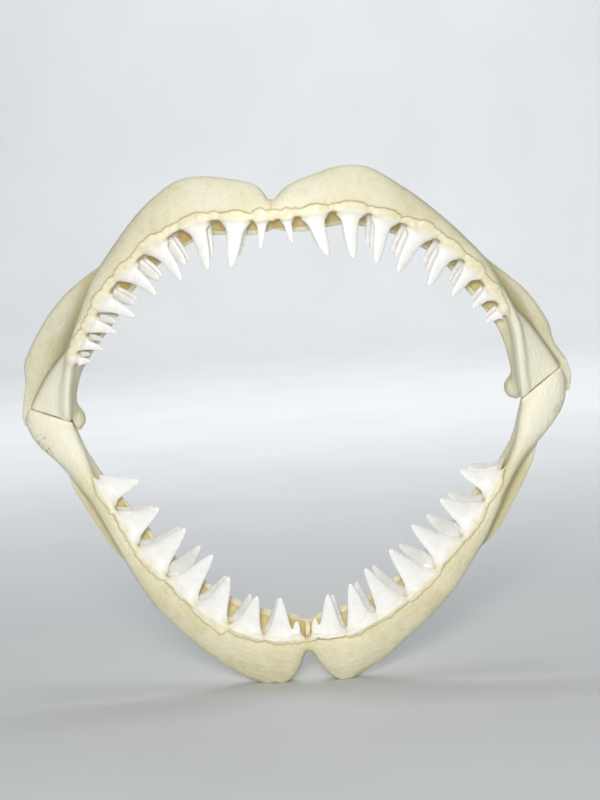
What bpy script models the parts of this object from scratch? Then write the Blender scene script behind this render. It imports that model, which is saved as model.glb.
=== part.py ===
"""Jaws of a great white shark, life size, gaping and standing on the chin.

Shapes are worked out in millimetres and scaled to metres at the end. The shark looks along -Y, so
its own left side is at +X. Z is up and the chin stands on Z = 0.
Each jaw is a pair of cartilages that meet in a pad at the midline. A half jaw is drawn as a line,
its gum line, with a cross-section that changes along it. The gum band that wraps the edge of each
half carries its rows of teeth.
"""

import math
import random
from collections import namedtuple

import bmesh
import bpy
from mathutils import Matrix, Vector

MM = 0.001
GAP = 0.3
JOINT_GAP = 0.9
SEAT_GAP = 0.35
BAND_OVERLAP = 1.5
CREST_ROLL = 5.5
PAD_HALF = 5.0
RING_STEP = 19.5

# One station of a half jaw, in millimetres and degrees.
# x, y, z      a point of the gum line
# height       from the gum line out to the free edge
# crest        thickness of the free edge
# waist        thickness half way up
# shelf        from the gum line back to the inner rim
# rim          how far the inner rim stands in past the gum line
# trough       how far the tooth trough lies out from the gum line
# tilt         how far the teeth turn towards the viewer
# lead         how far the front of the section leads inwards of its back
Station = namedtuple(
    "Station", "x y z height crest waist shelf rim trough tilt lead", defaults=[0]
)

UPPER = [
    Station(0, -165, 546, 26, 13, 18, 38, 3, 12, 12),
    Station(14, -164, 546, 39, 15, 22, 43, 5, 13, 12),
    Station(32, -162, 547, 47, 17, 26, 46, 7, 13, 12),
    Station(60, -157, 549, 53, 18, 28, 48, 8, 13, 12),
    Station(90, -147, 547, 59, 18, 28, 48, 8, 13, 12),
    Station(129, -130, 530, 53, 17, 27, 46, 8, 13, 12),
    Station(170, -105, 503, 41, 15, 25, 44, 8, 13, 14),
    Station(201, -83, 473, 31, 14, 24, 42, 8, 12, 16),
    Station(224, -64, 442, 24, 13, 23, 40, 8, 12, 18),
    Station(240, -51, 420, 20, 13, 23, 38, 8, 11, 18),
    Station(254, -40, 397, 17, 13, 23, 36, 8, 9, 18),
    Station(263, -29, 372, 15, 13, 23, 34, 7, 4, 16),
    Station(269, -19, 346, 15, 14, 23, 32, 5, 3, 14),
    Station(272, -10, 318, 16, 15, 23, 31, 4, 3, 12),
    Station(275, -4, 292, 16, 15, 23, 31, 4, 3, 12),
]
LOWER = [
    Station(0, -88, 62, 24, 16, 22, 40, 3, 12, 18),
    Station(12, -88, 61, 36, 26, 28, 46, 6, 13, 18),
    Station(25, -87, 60, 60, 34, 38, 50, 8, 13, 18),
    Station(41, -86, 61, 72, 38, 42, 52, 10, 13, 18),
    Station(64, -83, 66, 68, 33, 40, 52, 10, 13, 19),
    Station(103, -75, 82, 46, 23, 33, 48, 10, 13, 19),
    Station(140, -63, 107, 38, 18, 29, 46, 10, 13, 18),
    Station(170, -53, 140, 32, 16, 27, 44, 9, 13, 16),
    Station(201, -38, 177, 27, 16, 26, 42, 8, 12, 14),
    Station(225, -26, 217, 25, 18, 26, 38, 6, 11, 12),
    Station(242, -15, 250, 29, 22, 28, 34, 3, 6, 8),
    Station(259, -8, 285, 41, 26, 30, 32, 1, 3, 4),
    Station(273, -2, 319, 50, 28, 32, 32, 0, 3, 0),
    Station(287, 3, 352, 46, 28, 32, 32, 0, 3, 0),
    Station(301, 8, 385, 36, 28, 32, 32, 0, 3, 0),
]

# How each half differs from the mean of the two, in millimetres at a distance along its gum line
# gum       the gum line, moved out
# height    the bar's height, changed
Differs = namedtuple("Differs", "along gum height")
UPPER_DIFFERS = {
    "left": [
        Differs(10, 0, -3), Differs(50, 0, -3), Differs(70, 0, -2), Differs(92, 1, 1), Differs(110, 3, -3),
        Differs(136, 5, -8), Differs(160, 8, -9), Differs(185, 11, -10), Differs(227, 13, -7.5),
        Differs(265, 14, -1), Differs(298, 13, 0), Differs(326, 11, 0), Differs(355, 9, 0),
        Differs(380, 6, 0), Differs(400, 1, 0), Differs(430, 0, 0),
    ],
    "right": [
        Differs(20, 0, 2), Differs(45, 0, 0), Differs(78, 0, -1), Differs(92, 0, 1.5), Differs(125, 0, -3),
        Differs(170, 0, -3), Differs(207, 0, -3), Differs(240, 0, 1), Differs(270, 0, 2.5),
        Differs(330, 0, 0), Differs(352, 2, 0), Differs(370, 6, -1), Differs(392, 7, -1),
        Differs(420, 5, 0),
    ],
}
LOWER_DIFFERS = {
    "left": [
        Differs(20, 0, 0), Differs(30, 0, 3), Differs(40, 0, 0), Differs(50, 0, -6), Differs(60, -1, -8),
        Differs(78, -3, -1.5), Differs(105, -4, 4), Differs(150, -5, 5), Differs(170, -4, 6),
        Differs(185, -3, 5.5), Differs(215, -1, 4.5), Differs(245, 2, 1.5), Differs(280, 2, 0),
        Differs(310, 4, -3), Differs(340, 8.5, -9), Differs(355, 9.5, -10), Differs(372, 9, -7),
        Differs(390, 4, -1), Differs(405, 1.5, 1), Differs(420, 2, 2.5), Differs(435, 1, 2),
        Differs(450, 0, -1.5),
    ],
    "right": [
        Differs(20, 0, 4), Differs(30, 0, 4), Differs(45, 0, -1), Differs(60, 0, -1.5), Differs(90, -1, 6.5),
        Differs(115, -3, 10), Differs(150, -4, 7), Differs(180, -4, 10), Differs(205, -2, 8),
        Differs(235, 0, 2.5), Differs(265, -3, 3), Differs(300, -3, 2), Differs(335, 0, -2),
        Differs(362, 1.5, -1.5), Differs(375, 1.5, -3.5), Differs(390, 1, -1.5), Differs(400, 0.5, 1),
        Differs(410, 0, 5), Differs(422, 0, 6), Differs(440, 0, 7),
    ],
}

# How far the bar's front leads inwards of its back near the joint: distance along, and lead
UPPER_LEAD = {"left": [(342, 0), (375, 4)], "right": [(338, 0), (372, 10)]}
LOWER_LEAD = {"left": [(345, 0), (372, 3)], "right": [(345, 0), (372, 7)]}

# The thin plate outside the bar: distance along the gum line, reach out from it, and set-back
UPPER_PLATE = {
    "left": [
        (215, 26, 20), (245, 30, 26), (270, 32, 31), (300, 41.5, 36), (330, 52, 40), (345, 55, 41),
        (360, 57, 42.5), (372, 59.5, 43), (380, 61.5, 43), (392, 61.5, 43), (400, 63, 43), (408, 67, 43),
        (417, 72, 43), (428, 75, 43), (446, 71.5, 42),
    ],
    "right": [
        (215, 31, 20), (240, 41.5, 25), (270, 54, 31), (300, 65.5, 36), (315, 70.5, 38.5),
        (330, 73.7, 40), (342, 74.7, 41), (355, 74.5, 42), (372, 74.2, 43), (380, 74.6, 43),
        (388, 76, 43), (394, 75, 43), (402, 71, 43), (411, 69, 43), (422, 71.5, 43), (446, 71, 42),
    ],
}
LOWER_PLATE = {
    "left": [
        (210, 28, 22), (235, 38.5, 28), (255, 44, 30), (275, 45.5, 32), (295, 44.5, 33),
        (315, 42, 33), (335, 38.5, 32), (352, 36.5, 31), (372, 30, 26),
    ],
    "right": [
        (210, 29, 22), (235, 37, 28), (255, 43.5, 30), (275, 47.5, 32), (295, 46.5, 33), (315, 45, 33),
        (335, 42.5, 32), (352, 41.5, 31), (372, 33, 26),
    ],
}
PLATE_SAG = 7.0
# Share of the way from root to rim, and thickness there
PLATE_PROFILE = [(0.0, 11), (0.35, 7.5), (0.65, 6), (0.84, 7.5), (0.95, 7)]

# The plate's tip, which passes behind the lower head: distance along, where it starts out from the gum
# line, how far it stays inside the plate's reach, how far it leads forwards, and thickness
PLATE_TIP = [(402, 55, 2.5, 0, 5.0), (418, 56, 1.0, 1, 6.0), (432, 57, 1.0, 4, 6.0),
             (442, 58, 2.0, 7, 5.5), (450, 60, 6.0, 9, 4.0)]

# The raised triangle between bar and plate at the upper joint: distance along, and width
PLATEAU = {
    "left": [(328, 0), (350, 12), (375, 23), (405, 37), (425, 48), (446, 56)],
    "right": [(330, 0), (350, 8), (375, 18), (405, 31), (425, 40), (446, 48)],
}
PLATEAU_SET_BACK = 6.0

# The joint in front view: a point of it, and its slope in degrees up towards the outside
JOINT = {"left": ((298, 0, 333), 35.0), "right": ((294, 0, 330.8), 19.7)}

# The bevel at the top outer corner of the lower head: a point of it, and the way it faces
HEAD_BEVEL = {
    "left": ((320, 0, 346), (0.89, 0, 0.455)),
    "right": ((321.5, 0, 341.0), (0.855, 0, 0.519)),
}

KNOB_CENTRE = {"left": (259.5, 21, 327.5), "right": (264, 21, 325)}
KNOB_RADII = (11, 14, 16)

# Teeth, from the midline to the joint: distance along, height, base width, lean to the midline, and
# how much farther along the tooth behind it stands
Tooth = namedtuple("Tooth", "along height width lean behind")
UPPER_TEETH = {
    "left": [
        Tooth(17, 26, 17, -6, -7), Tooth(49, 46, 35, -7, -7), Tooth(92, 50, 37, -11, 4),
        Tooth(133, 49, 36, -12, -13), Tooth(180, 52, 38, 3, -13), Tooth(223, 46, 34, -3, -14),
        Tooth(261, 36, 30, -7, -12), Tooth(298, 25, 24, 6, -9), Tooth(326, 21, 20, 10, -8),
    ],
    "right": [
        Tooth(13, 30, 18, -2, -4), Tooth(43, 50, 37, -2, -4), Tooth(92, 52, 37, -1, -4),
        Tooth(150, 48, 38, 9, -12), Tooth(202, 44, 38, 16, -13), Tooth(256, 41, 33, 18, -14),
        Tooth(291, 32, 27, 26, -10), Tooth(320, 25, 22, 23, -10), Tooth(345, 17, 19, 28, -8),
    ],
}
LOWER_TEETH = {
    "left": [
        Tooth(10, 19, 12, 5, 0), Tooth(28, 50, 36, -1, 6), Tooth(67, 53, 40, -6, 9),
        Tooth(108, 59, 43, 3, 14), Tooth(155, 56, 46, 0, 22), Tooth(204, 54, 47, 5, 24),
        Tooth(254, 46, 47, 2, 14), Tooth(304, 40, 44, 9, 12),
    ],
    "right": [
        Tooth(12, 17, 12, 7, 0), Tooth(32, 49, 38, 4, 9), Tooth(74, 46, 40, 3, 12),
        Tooth(121, 52, 44, 4, 13), Tooth(167, 60, 47, -1, 22), Tooth(219, 59, 48, 5, 13),
        Tooth(270, 45, 47, 5, 10), Tooth(323, 42, 44, 15, 9),
    ],
}
ROOT_COVER = 1.5
THICKNESS_RATIO = 0.29

# A crown's outline: half width over base width and thickness over full thickness at the root, then
# height up the tooth with the same two
DAGGER = [(0.54, 0.95), (0.13, 0.33, 0.86), (0.42, 0.24, 0.66), (0.80, 0.13, 0.38)]
BLADE = [(0.52, 0.95), (0.14, 0.41, 0.84), (0.45, 0.26, 0.62), (0.80, 0.11, 0.36)]
LENS = [(-1.0, 0.0), (-0.5, -0.42), (0.5, -0.42), (1.0, 0.0), (0.5, 0.58), (-0.5, 0.58)]

# Rows of teeth: place round the cross-section, gum thickness there, turn back in degrees, size, share
# of the step to the tooth behind, and the first tooth that shows
Row = namedtuple("Row", "place gum turn size step first")
UPPER_ROWS = [Row(14.5, 6.6, 0, 1.0, 0, 0), Row(13, 6.4, 8, 0.86, 1, 1)]
LOWER_ROWS = [Row(14.5, 6.6, 0, 1.0, 0, 0), Row(13, 6.4, 8, 0.84, 1, 1)]


def spline(before, start, end, after, share):
    """A Catmull-Rom value between start and end."""
    return 0.5 * (
        2 * start
        + (end - before) * share
        + (2 * before - 5 * start + 4 * end - after) * share**2
        + (3 * start - before - 3 * end + after) * share**3
    )


def between(table, along):
    """The sizes of a table at a distance, straight from entry to entry."""
    for first, second in zip(table, table[1:]):
        if along <= second[0]:
            break
    share = min(1.0, max(0.0, (along - first[0]) / (second[0] - first[0])))
    return [a + (b - a) * share for a, b in zip(first[1:], second[1:])]


class HalfJaw:
    """The gum line of one half jaw, drawn at +X, with its sizes and frame at any distance along it."""

    SAMPLES = 24

    def __init__(self, jaw, side):
        self.upward = jaw == "upper"
        self.side = side
        stations = UPPER if self.upward else LOWER
        self.differs = [(0, 0, 0), *(UPPER_DIFFERS if self.upward else LOWER_DIFFERS)[side]]
        self.plate = (UPPER_PLATE if self.upward else LOWER_PLATE)[side]
        self.lead = (UPPER_LEAD if self.upward else LOWER_LEAD)[side]
        ghost = stations[1]._replace(x=-stations[1].x)
        last, near = stations[-1], stations[-2]
        beyond = Station(*(2 * a - b for a, b in zip(last, near)))
        self.table = [ghost, *stations, beyond]
        self.marks = [0.0]
        step = 1 / self.SAMPLES
        count = (len(stations) - 1) * self.SAMPLES
        point = self.sizes(0)
        for i in range(count):
            following = self.sizes((i + 1) * step)
            self.marks.append(self.marks[-1] + math.dist(point[:3], following[:3]))
            point = following
        self.length = self.marks[-1]

    def sizes(self, place):
        """The station at a place counted in stations."""
        i = min(int(place), len(self.table) - 4)
        values = (
            spline(*four, place - i)
            for four in zip(*(self.table[i + k] for k in range(4)))
        )
        return Station(*values)

    def place(self, along):
        """A distance along the line, counted in stations."""
        i = 0
        while i < len(self.marks) - 2 and self.marks[i + 1] < along:
            i += 1
        share = (along - self.marks[i]) / (self.marks[i + 1] - self.marks[i])
        return (i + share) / self.SAMPLES

    def frame(self, along):
        """Origin, the way along, the way out and the way back, at a distance."""
        place = self.place(along)
        small = 0.02
        here = self.sizes(place)
        ahead = Vector(self.sizes(place + small)[:3])
        behind = Vector(self.sizes(max(0.0, place - small))[:3])
        way = (ahead - behind).normalized()
        out = Vector((-way.z, 0, way.x)) if self.upward else Vector((way.z, 0, -way.x))
        out.normalize()
        back = Vector((0, 1, 0)) - way * way.y
        back.normalize()
        turn = math.radians(here.tilt)
        tilted_out = out * math.cos(turn) + back * math.sin(turn)
        tilted_back = back * math.cos(turn) - out * math.sin(turn)
        gum, height = between(self.differs, along)
        (lead,) = between(self.lead, along)
        here = here._replace(height=here.height + height, lead=lead)
        return Vector(here[:3]) + tilted_out * gum, way, tilted_out, tilted_back, here

    def ring(self, along, outline):
        """Points (out, back) of an outline, set in space."""
        origin, _, out, back, _ = self.frame(along)
        return [origin + out * o + back * b for o, b in outline]


def gum_recess(size):
    """How far the bare edge lies under the gum band's crown."""
    return 0.5 * size.trough


def bar_controls(size):
    """The corners of the bar's cross-section, from the front of the gum edge round the free edge."""
    gum = gum_recess(size)
    face = size.height - gum
    fullness = 0.06 * size.height
    crest = size.crest
    roll = min(0.24 * crest, CREST_ROLL)
    corners = [
        (gum, 2.5),
        (gum + 0.30 * face, -fullness),
        (gum + 0.68 * face, -0.6 * fullness),
        (size.height - roll, 0.08 * crest),
        (size.height, 0.48 * crest),
        (size.height - roll, 0.94 * crest),
        (0.62 * size.height, size.waist),
        (0.28 * size.height, 0.5 * (size.waist + size.shelf)),
        (0.0, size.shelf),
        (-0.75 * size.rim, size.shelf - 1.0),
        (-size.rim, size.shelf - 4.5),
        (-0.35 * size.rim, size.shelf - 9.0),
        (0.75 * size.trough, 0.62 * size.shelf),
        (size.trough, 0.40 * size.shelf),
        (gum + 1.5, 8.5),
    ]
    return [(o - size.lead * max(0.0, 1 - b / size.shelf), b) for o, b in corners]


def on_loop(corners, place):
    """A point of the closed smooth curve through the corners."""
    i = math.floor(place)
    four = [corners[(i + k) % len(corners)] for k in (-1, 0, 1, 2)]
    return tuple(spline(*values, place - i) for values in zip(*four))


def off_loop(corners, place, by):
    """A point of the curve, moved outwards."""
    o, b = on_loop(corners, place)
    ahead, behind = on_loop(corners, place + 0.05), on_loop(corners, place - 0.05)
    step = (ahead[0] - behind[0], ahead[1] - behind[1])
    length = math.hypot(*step)
    return o + step[1] / length * by, b - step[0] / length * by


BAR_PLACES = [0, 0.5, 1, 1.5, 2, 3, 3.5, 4, 4.5, 5, 6, 8, 9.5, 11, 12, 13, 14]


def bar_outline(size):
    """The bar's cross-section as (out, back) points."""
    corners = bar_controls(size)
    return [on_loop(corners, place) for place in BAR_PLACES]


def plate_middle(size, reach, set_back, share):
    """The middle of the plate's thickness, as (out, back), at a share of the way from root to rim."""
    root_out = max(0.4 * size.height, size.trough + 4) - size.lead
    root_back = 0.55 * size.waist
    sag = PLATE_SAG * math.sin(math.pi * share)
    return root_out + (reach - root_out) * share, root_back + (set_back - root_back) * share**0.7 + sag


def plate_outline(size, reach, set_back):
    """The thin plate: rooted in the bar, hollowed in front and thicker along its rim."""
    front, behind = [], []
    for share, thick in PLATE_PROFILE:
        out, middle = plate_middle(size, reach, set_back, share)
        front.append((out, middle - 0.5 * thick))
        behind.append((out, middle + 0.5 * thick))
    return [*front, (reach, set_back), *behind[::-1]]


def plateau_outline(size, width):
    """The raised triangle's cross-section."""
    inner = size.height - 7 - size.lead
    outer = size.height - 3 + width
    return [
        (inner, PLATEAU_SET_BACK + 4),
        (size.height - 1.5 - 0.6 * size.lead, PLATEAU_SET_BACK),
        (outer - 3, PLATEAU_SET_BACK + 4),
        (outer + 1, PLATEAU_SET_BACK + 10),
        (outer + 4, 40),
        (inner, 36),
    ]


def distances(start, end):
    """Ring places from start to end: shared marks that lie closer near the midline notch."""
    marks = [0.0, PAD_HALF + GAP]
    while marks[-1] < end:
        marks.append(marks[-1] + min(RING_STEP, 4.5 + 0.2 * marks[-1]))
    near = 0.4 * RING_STEP
    inside = [mark for mark in marks if mark > start + 1.0 and mark < end - near]
    return [start, *inside, end]


def solid(name, rings, tip=None):
    """A closed object through rings of points, its ends flat or, with a tip, drawn to a point."""
    mesh = bmesh.new()
    loops = [[mesh.verts.new(point) for point in ring] for ring in rings]
    count = len(loops[0])
    for first, second in zip(loops, loops[1:]):
        for i in range(count):
            j = (i + 1) % count
            mesh.faces.new((first[i], first[j], second[j]))
            mesh.faces.new((first[i], second[j], second[i]))
    mesh.faces.new(loops[0])
    if tip is None:
        mesh.faces.new(loops[-1])
    else:
        point = mesh.verts.new(tip)
        for i in range(count):
            mesh.faces.new((loops[-1][i], loops[-1][(i + 1) % count], point))
    mesh.normal_update()
    bmesh.ops.triangulate(mesh, faces=mesh.faces[:])
    bmesh.ops.recalc_face_normals(mesh, faces=mesh.faces[:])
    data = bpy.data.meshes.new(name)
    mesh.to_mesh(data)
    mesh.free()
    made = bpy.data.objects.new(name, data)
    bpy.context.scene.collection.objects.link(made)
    return made


def cut_flat(made, point, normal):
    """Keeps the side of a plane that the normal points away from, and closes the cut."""
    mesh = bmesh.new()
    mesh.from_mesh(made.data)
    geometry = mesh.verts[:] + mesh.edges[:] + mesh.faces[:]
    bmesh.ops.bisect_plane(
        mesh, geom=geometry, dist=1e-4, plane_co=point, plane_no=normal, clear_outer=True
    )
    edges = [edge for edge in mesh.edges if edge.is_boundary]
    bmesh.ops.holes_fill(mesh, edges=edges, sides=0)
    mesh.normal_update()
    bmesh.ops.triangulate(mesh, faces=mesh.faces[:])
    bmesh.ops.recalc_face_normals(mesh, faces=mesh.faces[:])
    mesh.to_mesh(made.data)
    mesh.free()


def largest_shell(made):
    """Keeps the closed surface with the most faces."""
    mesh = bmesh.new()
    mesh.from_mesh(made.data)
    unseen = set(mesh.verts)
    shells = []
    while unseen:
        stack = [unseen.pop()]
        shell = set(stack)
        while stack:
            for edge in stack.pop().link_edges:
                for vertex in edge.verts:
                    if vertex in unseen:
                        unseen.discard(vertex)
                        shell.add(vertex)
                        stack.append(vertex)
        shells.append(shell)
    shells.sort(key=len)
    scraps = [vertex for shell in shells[:-1] for vertex in shell]
    bmesh.ops.delete(mesh, geom=scraps, context="VERTS")
    mesh.to_mesh(made.data)
    mesh.free()


def bake(made):
    """Replaces an object's mesh by what its modifiers make of it."""
    depsgraph = bpy.context.evaluated_depsgraph_get()
    evaluated = bpy.data.meshes.new_from_object(made.evaluated_get(depsgraph))
    made.modifiers.clear()
    made.data = evaluated


def drop(objects):
    """Removes objects."""
    for old in objects:
        bpy.data.objects.remove(old)


def fused(base, others):
    """One closed body from a base and the pieces that grow from it."""
    group = bpy.data.collections.new("growing_from_" + base.name)
    bpy.context.scene.collection.children.link(group)
    for other in others:
        group.objects.link(other)
    join = base.modifiers.new("join", "BOOLEAN")
    join.operation = "UNION"
    join.operand_type = "COLLECTION"
    join.collection = group
    join.solver = "EXACT"
    bake(base)
    drop(others)
    bpy.data.collections.remove(group)
    largest_shell(base)
    return base


def carved(base, cutters):
    """The base less each cutter."""
    for cutter in cutters:
        cut = base.modifiers.new("cut", "BOOLEAN")
        cut.operation = "DIFFERENCE"
        cut.object = cutter
        cut.solver = "EXACT"
        bake(base)
    drop(cutters)
    largest_shell(base)
    return base


def grown(outline, by):
    """An outline moved outwards by a distance."""
    moved = []
    count = len(outline)
    for i in range(count):
        before, after = outline[i - 1], outline[(i + 1) % count]
        along = (after[0] - before[0], after[1] - before[1])
        size = math.hypot(*along) or 1.0
        moved.append((outline[i][0] + along[1] / size * by, outline[i][1] - along[0] / size * by))
    return moved


def joint_plane(side, offset):
    """A point and the upward normal of the joint, shifted along the normal."""
    point, slope = JOINT[side]
    slope = math.radians(slope)
    normal = Vector((-math.sin(slope), 0, math.cos(slope)))
    return Vector(point) + normal * offset, normal


def bar(half, name, start, end, by=0.0):
    """The bar of a half jaw between two distances, its surface moved outwards if asked."""
    rings = []
    for along in distances(start, end):
        outline = bar_outline(half.frame(along)[4])
        rings.append(half.ring(along, grown(outline, by)))
    return solid(name, rings)


def plate(half, name):
    """The thin plate beyond the bar."""
    rings = [
        half.ring(along, plate_outline(half.frame(along)[4], reach, set_back))
        for along, reach, set_back in half.plate
    ]
    return solid(name, rings)


def plate_tip(half, name):
    """The tip of the upper plate, which passes behind the lower head."""
    rings = []
    for along, inner, inset, lead, thick in PLATE_TIP:
        size = half.frame(along)[4]
        reach, set_back = between(half.plate, along)
        root = plate_middle(size, reach, set_back, 0)[0]
        front, behind = [], []
        for k in range(4):
            out = inner + (reach - inset - inner) * k / 3
            middle = plate_middle(size, reach, set_back, (out - root) / (reach - root))[1] - lead
            front.append((out, middle - 0.5 * thick))
            behind.append((out, middle + 0.5 * thick))
        rings.append(half.ring(along, [*front, *behind[::-1]]))
    return solid(name, rings)


def plateau(half, name):
    """The raised triangle between bar and plate at the upper joint."""
    table = PLATEAU[half.side]
    rings = []
    for along in distances(table[0][0], table[-1][0]):
        (width,) = between(table, along)
        rings.append(half.ring(along, plateau_outline(half.frame(along)[4], width)))
    return solid(name, rings)


def knob(half, name):
    """The rounded inner process of the upper jaw behind the joint."""
    bpy.ops.mesh.primitive_uv_sphere_add(segments=14, ring_count=9, radius=1.0)
    made = bpy.context.object
    made.name = name
    made.data.transform(Matrix.LocRotScale(Vector(KNOB_CENTRE[half.side]), None, Vector(KNOB_RADII)))
    return made


def lower_half(half):
    """A lower cartilage drawn at +X: bar and plate, cut flat at the joint."""
    made = bar(half, "lower_jaw", PAD_HALF + GAP, half.length)
    cut_flat(made, *joint_plane(half.side, -0.5 * JOINT_GAP))
    cut_flat(made, *HEAD_BEVEL[half.side])
    cut_flat(made, (0, 0, 0), (0, 0, -1))
    return fused(made, [plate(half, "lower_plate")])


def upper_half(half, lower):
    """An upper cartilage drawn at +X: bar, plate, raised triangle and knob, clear of the lower one."""
    made = bar(half, "upper_jaw", PAD_HALF + GAP, half.length)
    raised = plateau(half, "raised_triangle")
    fused(made, [plate(half, "upper_plate"), raised])
    point, normal = joint_plane(half.side, 0.5 * JOINT_GAP)
    cut_flat(made, point, -normal)
    fused(made, [knob(half, "knob"), plate_tip(half, "plate_tip")])
    cutter = bar(lower, "lower_grown", 300, lower.length, by=JOINT_GAP)
    cut_flat(cutter, *joint_plane(half.side, 0.0))
    return carved(made, [cutter])


def pad(half, name):
    """The ligament that joins two halves at the midline."""
    shrink = -0.2
    rings = []
    for x in (-PAD_HALF, -0.5 * PAD_HALF, 0, 0.5 * PAD_HALF, PAD_HALF):
        outline = grown(bar_outline(half.frame(abs(x))[4]), shrink)
        ring = half.ring(abs(x), outline)
        if x < 0:
            ring = [Vector((-p.x, p.y, p.z)) for p in ring]
        rings.append(ring)
    return solid(name, rings)


BAND_PLACES = [11, 12, 13, 14, 15]
BAND_THICKNESS = [1.4, 5.6, 6.4, 6.6, 6.2]
BAND_EDGE = [(0.5, 3.6), (1.0, 1.6)]


def along_face(corners, length):
    """The place on the front face at a length from its gum edge."""
    place = 0.0
    while math.dist(on_loop(corners, 0.0), on_loop(corners, place)) < length and place < 2.0:
        place += 0.05
    return place


def band_outline(size, width):
    """The gum band: a skin round the edge from the inner rim to the front face."""
    corners = bar_controls(size)
    edge = len(corners) + along_face(corners, width)
    outer = [
        off_loop(corners, place, SEAT_GAP + thick)
        for place, thick in zip(BAND_PLACES, BAND_THICKNESS)
    ]
    for share, thick in BAND_EDGE:
        outer.append(off_loop(corners, 15 + (edge - 15) * share, SEAT_GAP + thick))
    inner = [off_loop(corners, place, -BAND_OVERLAP) for place in (BAND_PLACES[0], 13, 15, edge)]
    return inner + outer[::-1]


def band_width(teeth, along):
    """The band's width on the front face, bulging at each tooth and dipping between them."""
    nearest = min(teeth, key=lambda tooth: abs(tooth.along - along))
    share = min(1.0, abs(nearest.along - along) / (0.5 * nearest.width))
    return 9.5 + 2.2 * math.cos(math.pi * share)


def gum_band(half, name, teeth):
    """The band along one half jaw, from the midline to past the last tooth."""
    start = 0.5 * GAP
    end = teeth[-1].along + 0.5 * teeth[-1].width
    rings = []
    for along in distances(start, end):
        outline = band_outline(half.frame(along)[4], band_width(teeth, along))
        rings.append(half.ring(along, outline))
    return solid(name, rings)


def bed_point(half, along, place, lift):
    """A point at a lift above the cartilage, at a distance along it and a place round it."""
    origin, _, out, back, size = half.frame(along)
    o, b = off_loop(bar_controls(size), place, lift)
    return origin + out * o + back * b


def crown(name, half, tooth, row, profile, jitter):
    """One tooth, its root bent to the bed of the gum band."""
    along = tooth.along + row.step * tooth.behind
    _, way, out, back, _ = half.frame(along)
    base = bed_point(half, along, row.place, row.gum)
    lean = math.radians(tooth.lean + jitter.uniform(-1.5, 1.5))
    turn = math.radians(row.turn)
    axis = -out * math.cos(turn) + back * math.sin(turn)
    axis = axis * math.cos(lean) - way * math.sin(lean)
    across = (way - axis * way.dot(axis)).normalized()
    thick_way = axis.cross(across)
    if thick_way.dot(back) < 0:
        thick_way = -thick_way
    height = tooth.height * row.size * jitter.uniform(0.97, 1.03)
    width = tooth.width * (0.5 + 0.5 * row.size)
    thickness = THICKNESS_RATIO * width
    root_width, root_thick = profile[0]
    root = [
        bed_point(half, along + a * root_width * width, row.place, ROOT_COVER)
        + thick_way * (b * root_thick * thickness)
        for a, b in LENS
    ]
    rings = [root]
    for up, half_width, thick in profile[1:]:
        centre = base + axis * (height * up)
        rings.append(
            [
                centre + across * (a * half_width * width) + thick_way * (b * thick * thickness)
                for a, b in LENS
            ]
        )
    return solid(name, rings, base + axis * height)


def toothed_band(half, name, teeth, rows, profile, seed):
    """A gum band fused with its rows of teeth and cut to sit just clear of the cartilage."""
    jitter = random.Random(seed)
    crowns = []
    for r, row in enumerate(rows):
        for k, tooth in enumerate(teeth):
            if k >= row.first:
                crowns.append(crown(f"{name}_{r}_{k}", half, tooth, row, profile, jitter))
    made = fused(gum_band(half, name, teeth), crowns)
    return carved(made, [bar(half, name + "_seat", -PAD_HALF, half.length, by=SEAT_GAP)])


def mirrored(made):
    """Turns a piece drawn at +X into the other side's, its faces pointing out."""
    for vertex in made.data.vertices:
        vertex.co.x = -vertex.co.x
    made.data.flip_normals()


def material(name, colour, roughness):
    """A plain surface."""
    made = bpy.data.materials.new(name)
    made.use_nodes = True
    shader = made.node_tree.nodes["Principled BSDF"]
    shader.inputs["Base Color"].default_value = (*colour, 1.0)
    shader.inputs["Roughness"].default_value = roughness
    shader.inputs["Metallic"].default_value = 0.0
    return made


def finish(made, name, finish_material):
    """Names a piece, scales it to metres and gives it its surface."""
    made.name = name
    made.data.name = name
    made.data.transform(Matrix.Scale(MM, 4))
    made.data.materials.clear()
    made.data.materials.append(finish_material)
    made.data.shade_smooth()
    made.data.set_sharp_from_angle(angle=math.radians(40))


def centre_on_floor():
    """Moves every piece so that the middle of the whole model's base is the world origin."""
    pieces = [made for made in bpy.data.objects if made.type == "MESH"]
    points = [vertex.co for made in pieces for vertex in made.data.vertices]
    middles = [
        0.5 * (min(point[axis] for point in points) + max(point[axis] for point in points))
        for axis in (0, 1)
    ]
    for made in pieces:
        made.data.transform(Matrix.Translation((-middles[0], -middles[1], 0)))


def side_pieces(side, seed):
    """The cartilages and the toothed gum bands of one side, as if all were at +X."""
    upper = HalfJaw("upper", side)
    lower = HalfJaw("lower", side)
    return {
        f"upper_jaw_{side}": upper_half(upper, lower),
        f"lower_jaw_{side}": lower_half(lower),
        f"upper_teeth_{side}": toothed_band(
            upper, "upper_band", UPPER_TEETH[side], UPPER_ROWS, DAGGER, seed
        ),
        f"lower_teeth_{side}": toothed_band(
            lower, "lower_band", LOWER_TEETH[side], LOWER_ROWS, BLADE, seed + 1
        ),
    }


def main():
    """Builds both jaws."""
    for old in list(bpy.data.objects):
        bpy.data.objects.remove(old)
    cartilage = material("cartilage", (0.72, 0.68, 0.46), 0.45)
    ligament = material("ligament", (0.66, 0.57, 0.32), 0.5)
    enamel = material("enamel", (0.86, 0.85, 0.80), 0.3)
    for seed, side in ((1, "left"), (3, "right")):
        for name, made in side_pieces(side, seed).items():
            if side == "right":
                mirrored(made)
            finish(made, name, enamel if "teeth" in name else cartilage)
    for jaw in ("upper", "lower"):
        finish(pad(HalfJaw(jaw, "left"), "pad"), f"{jaw}_symphysis", ligament)
    centre_on_floor()


main()
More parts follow.
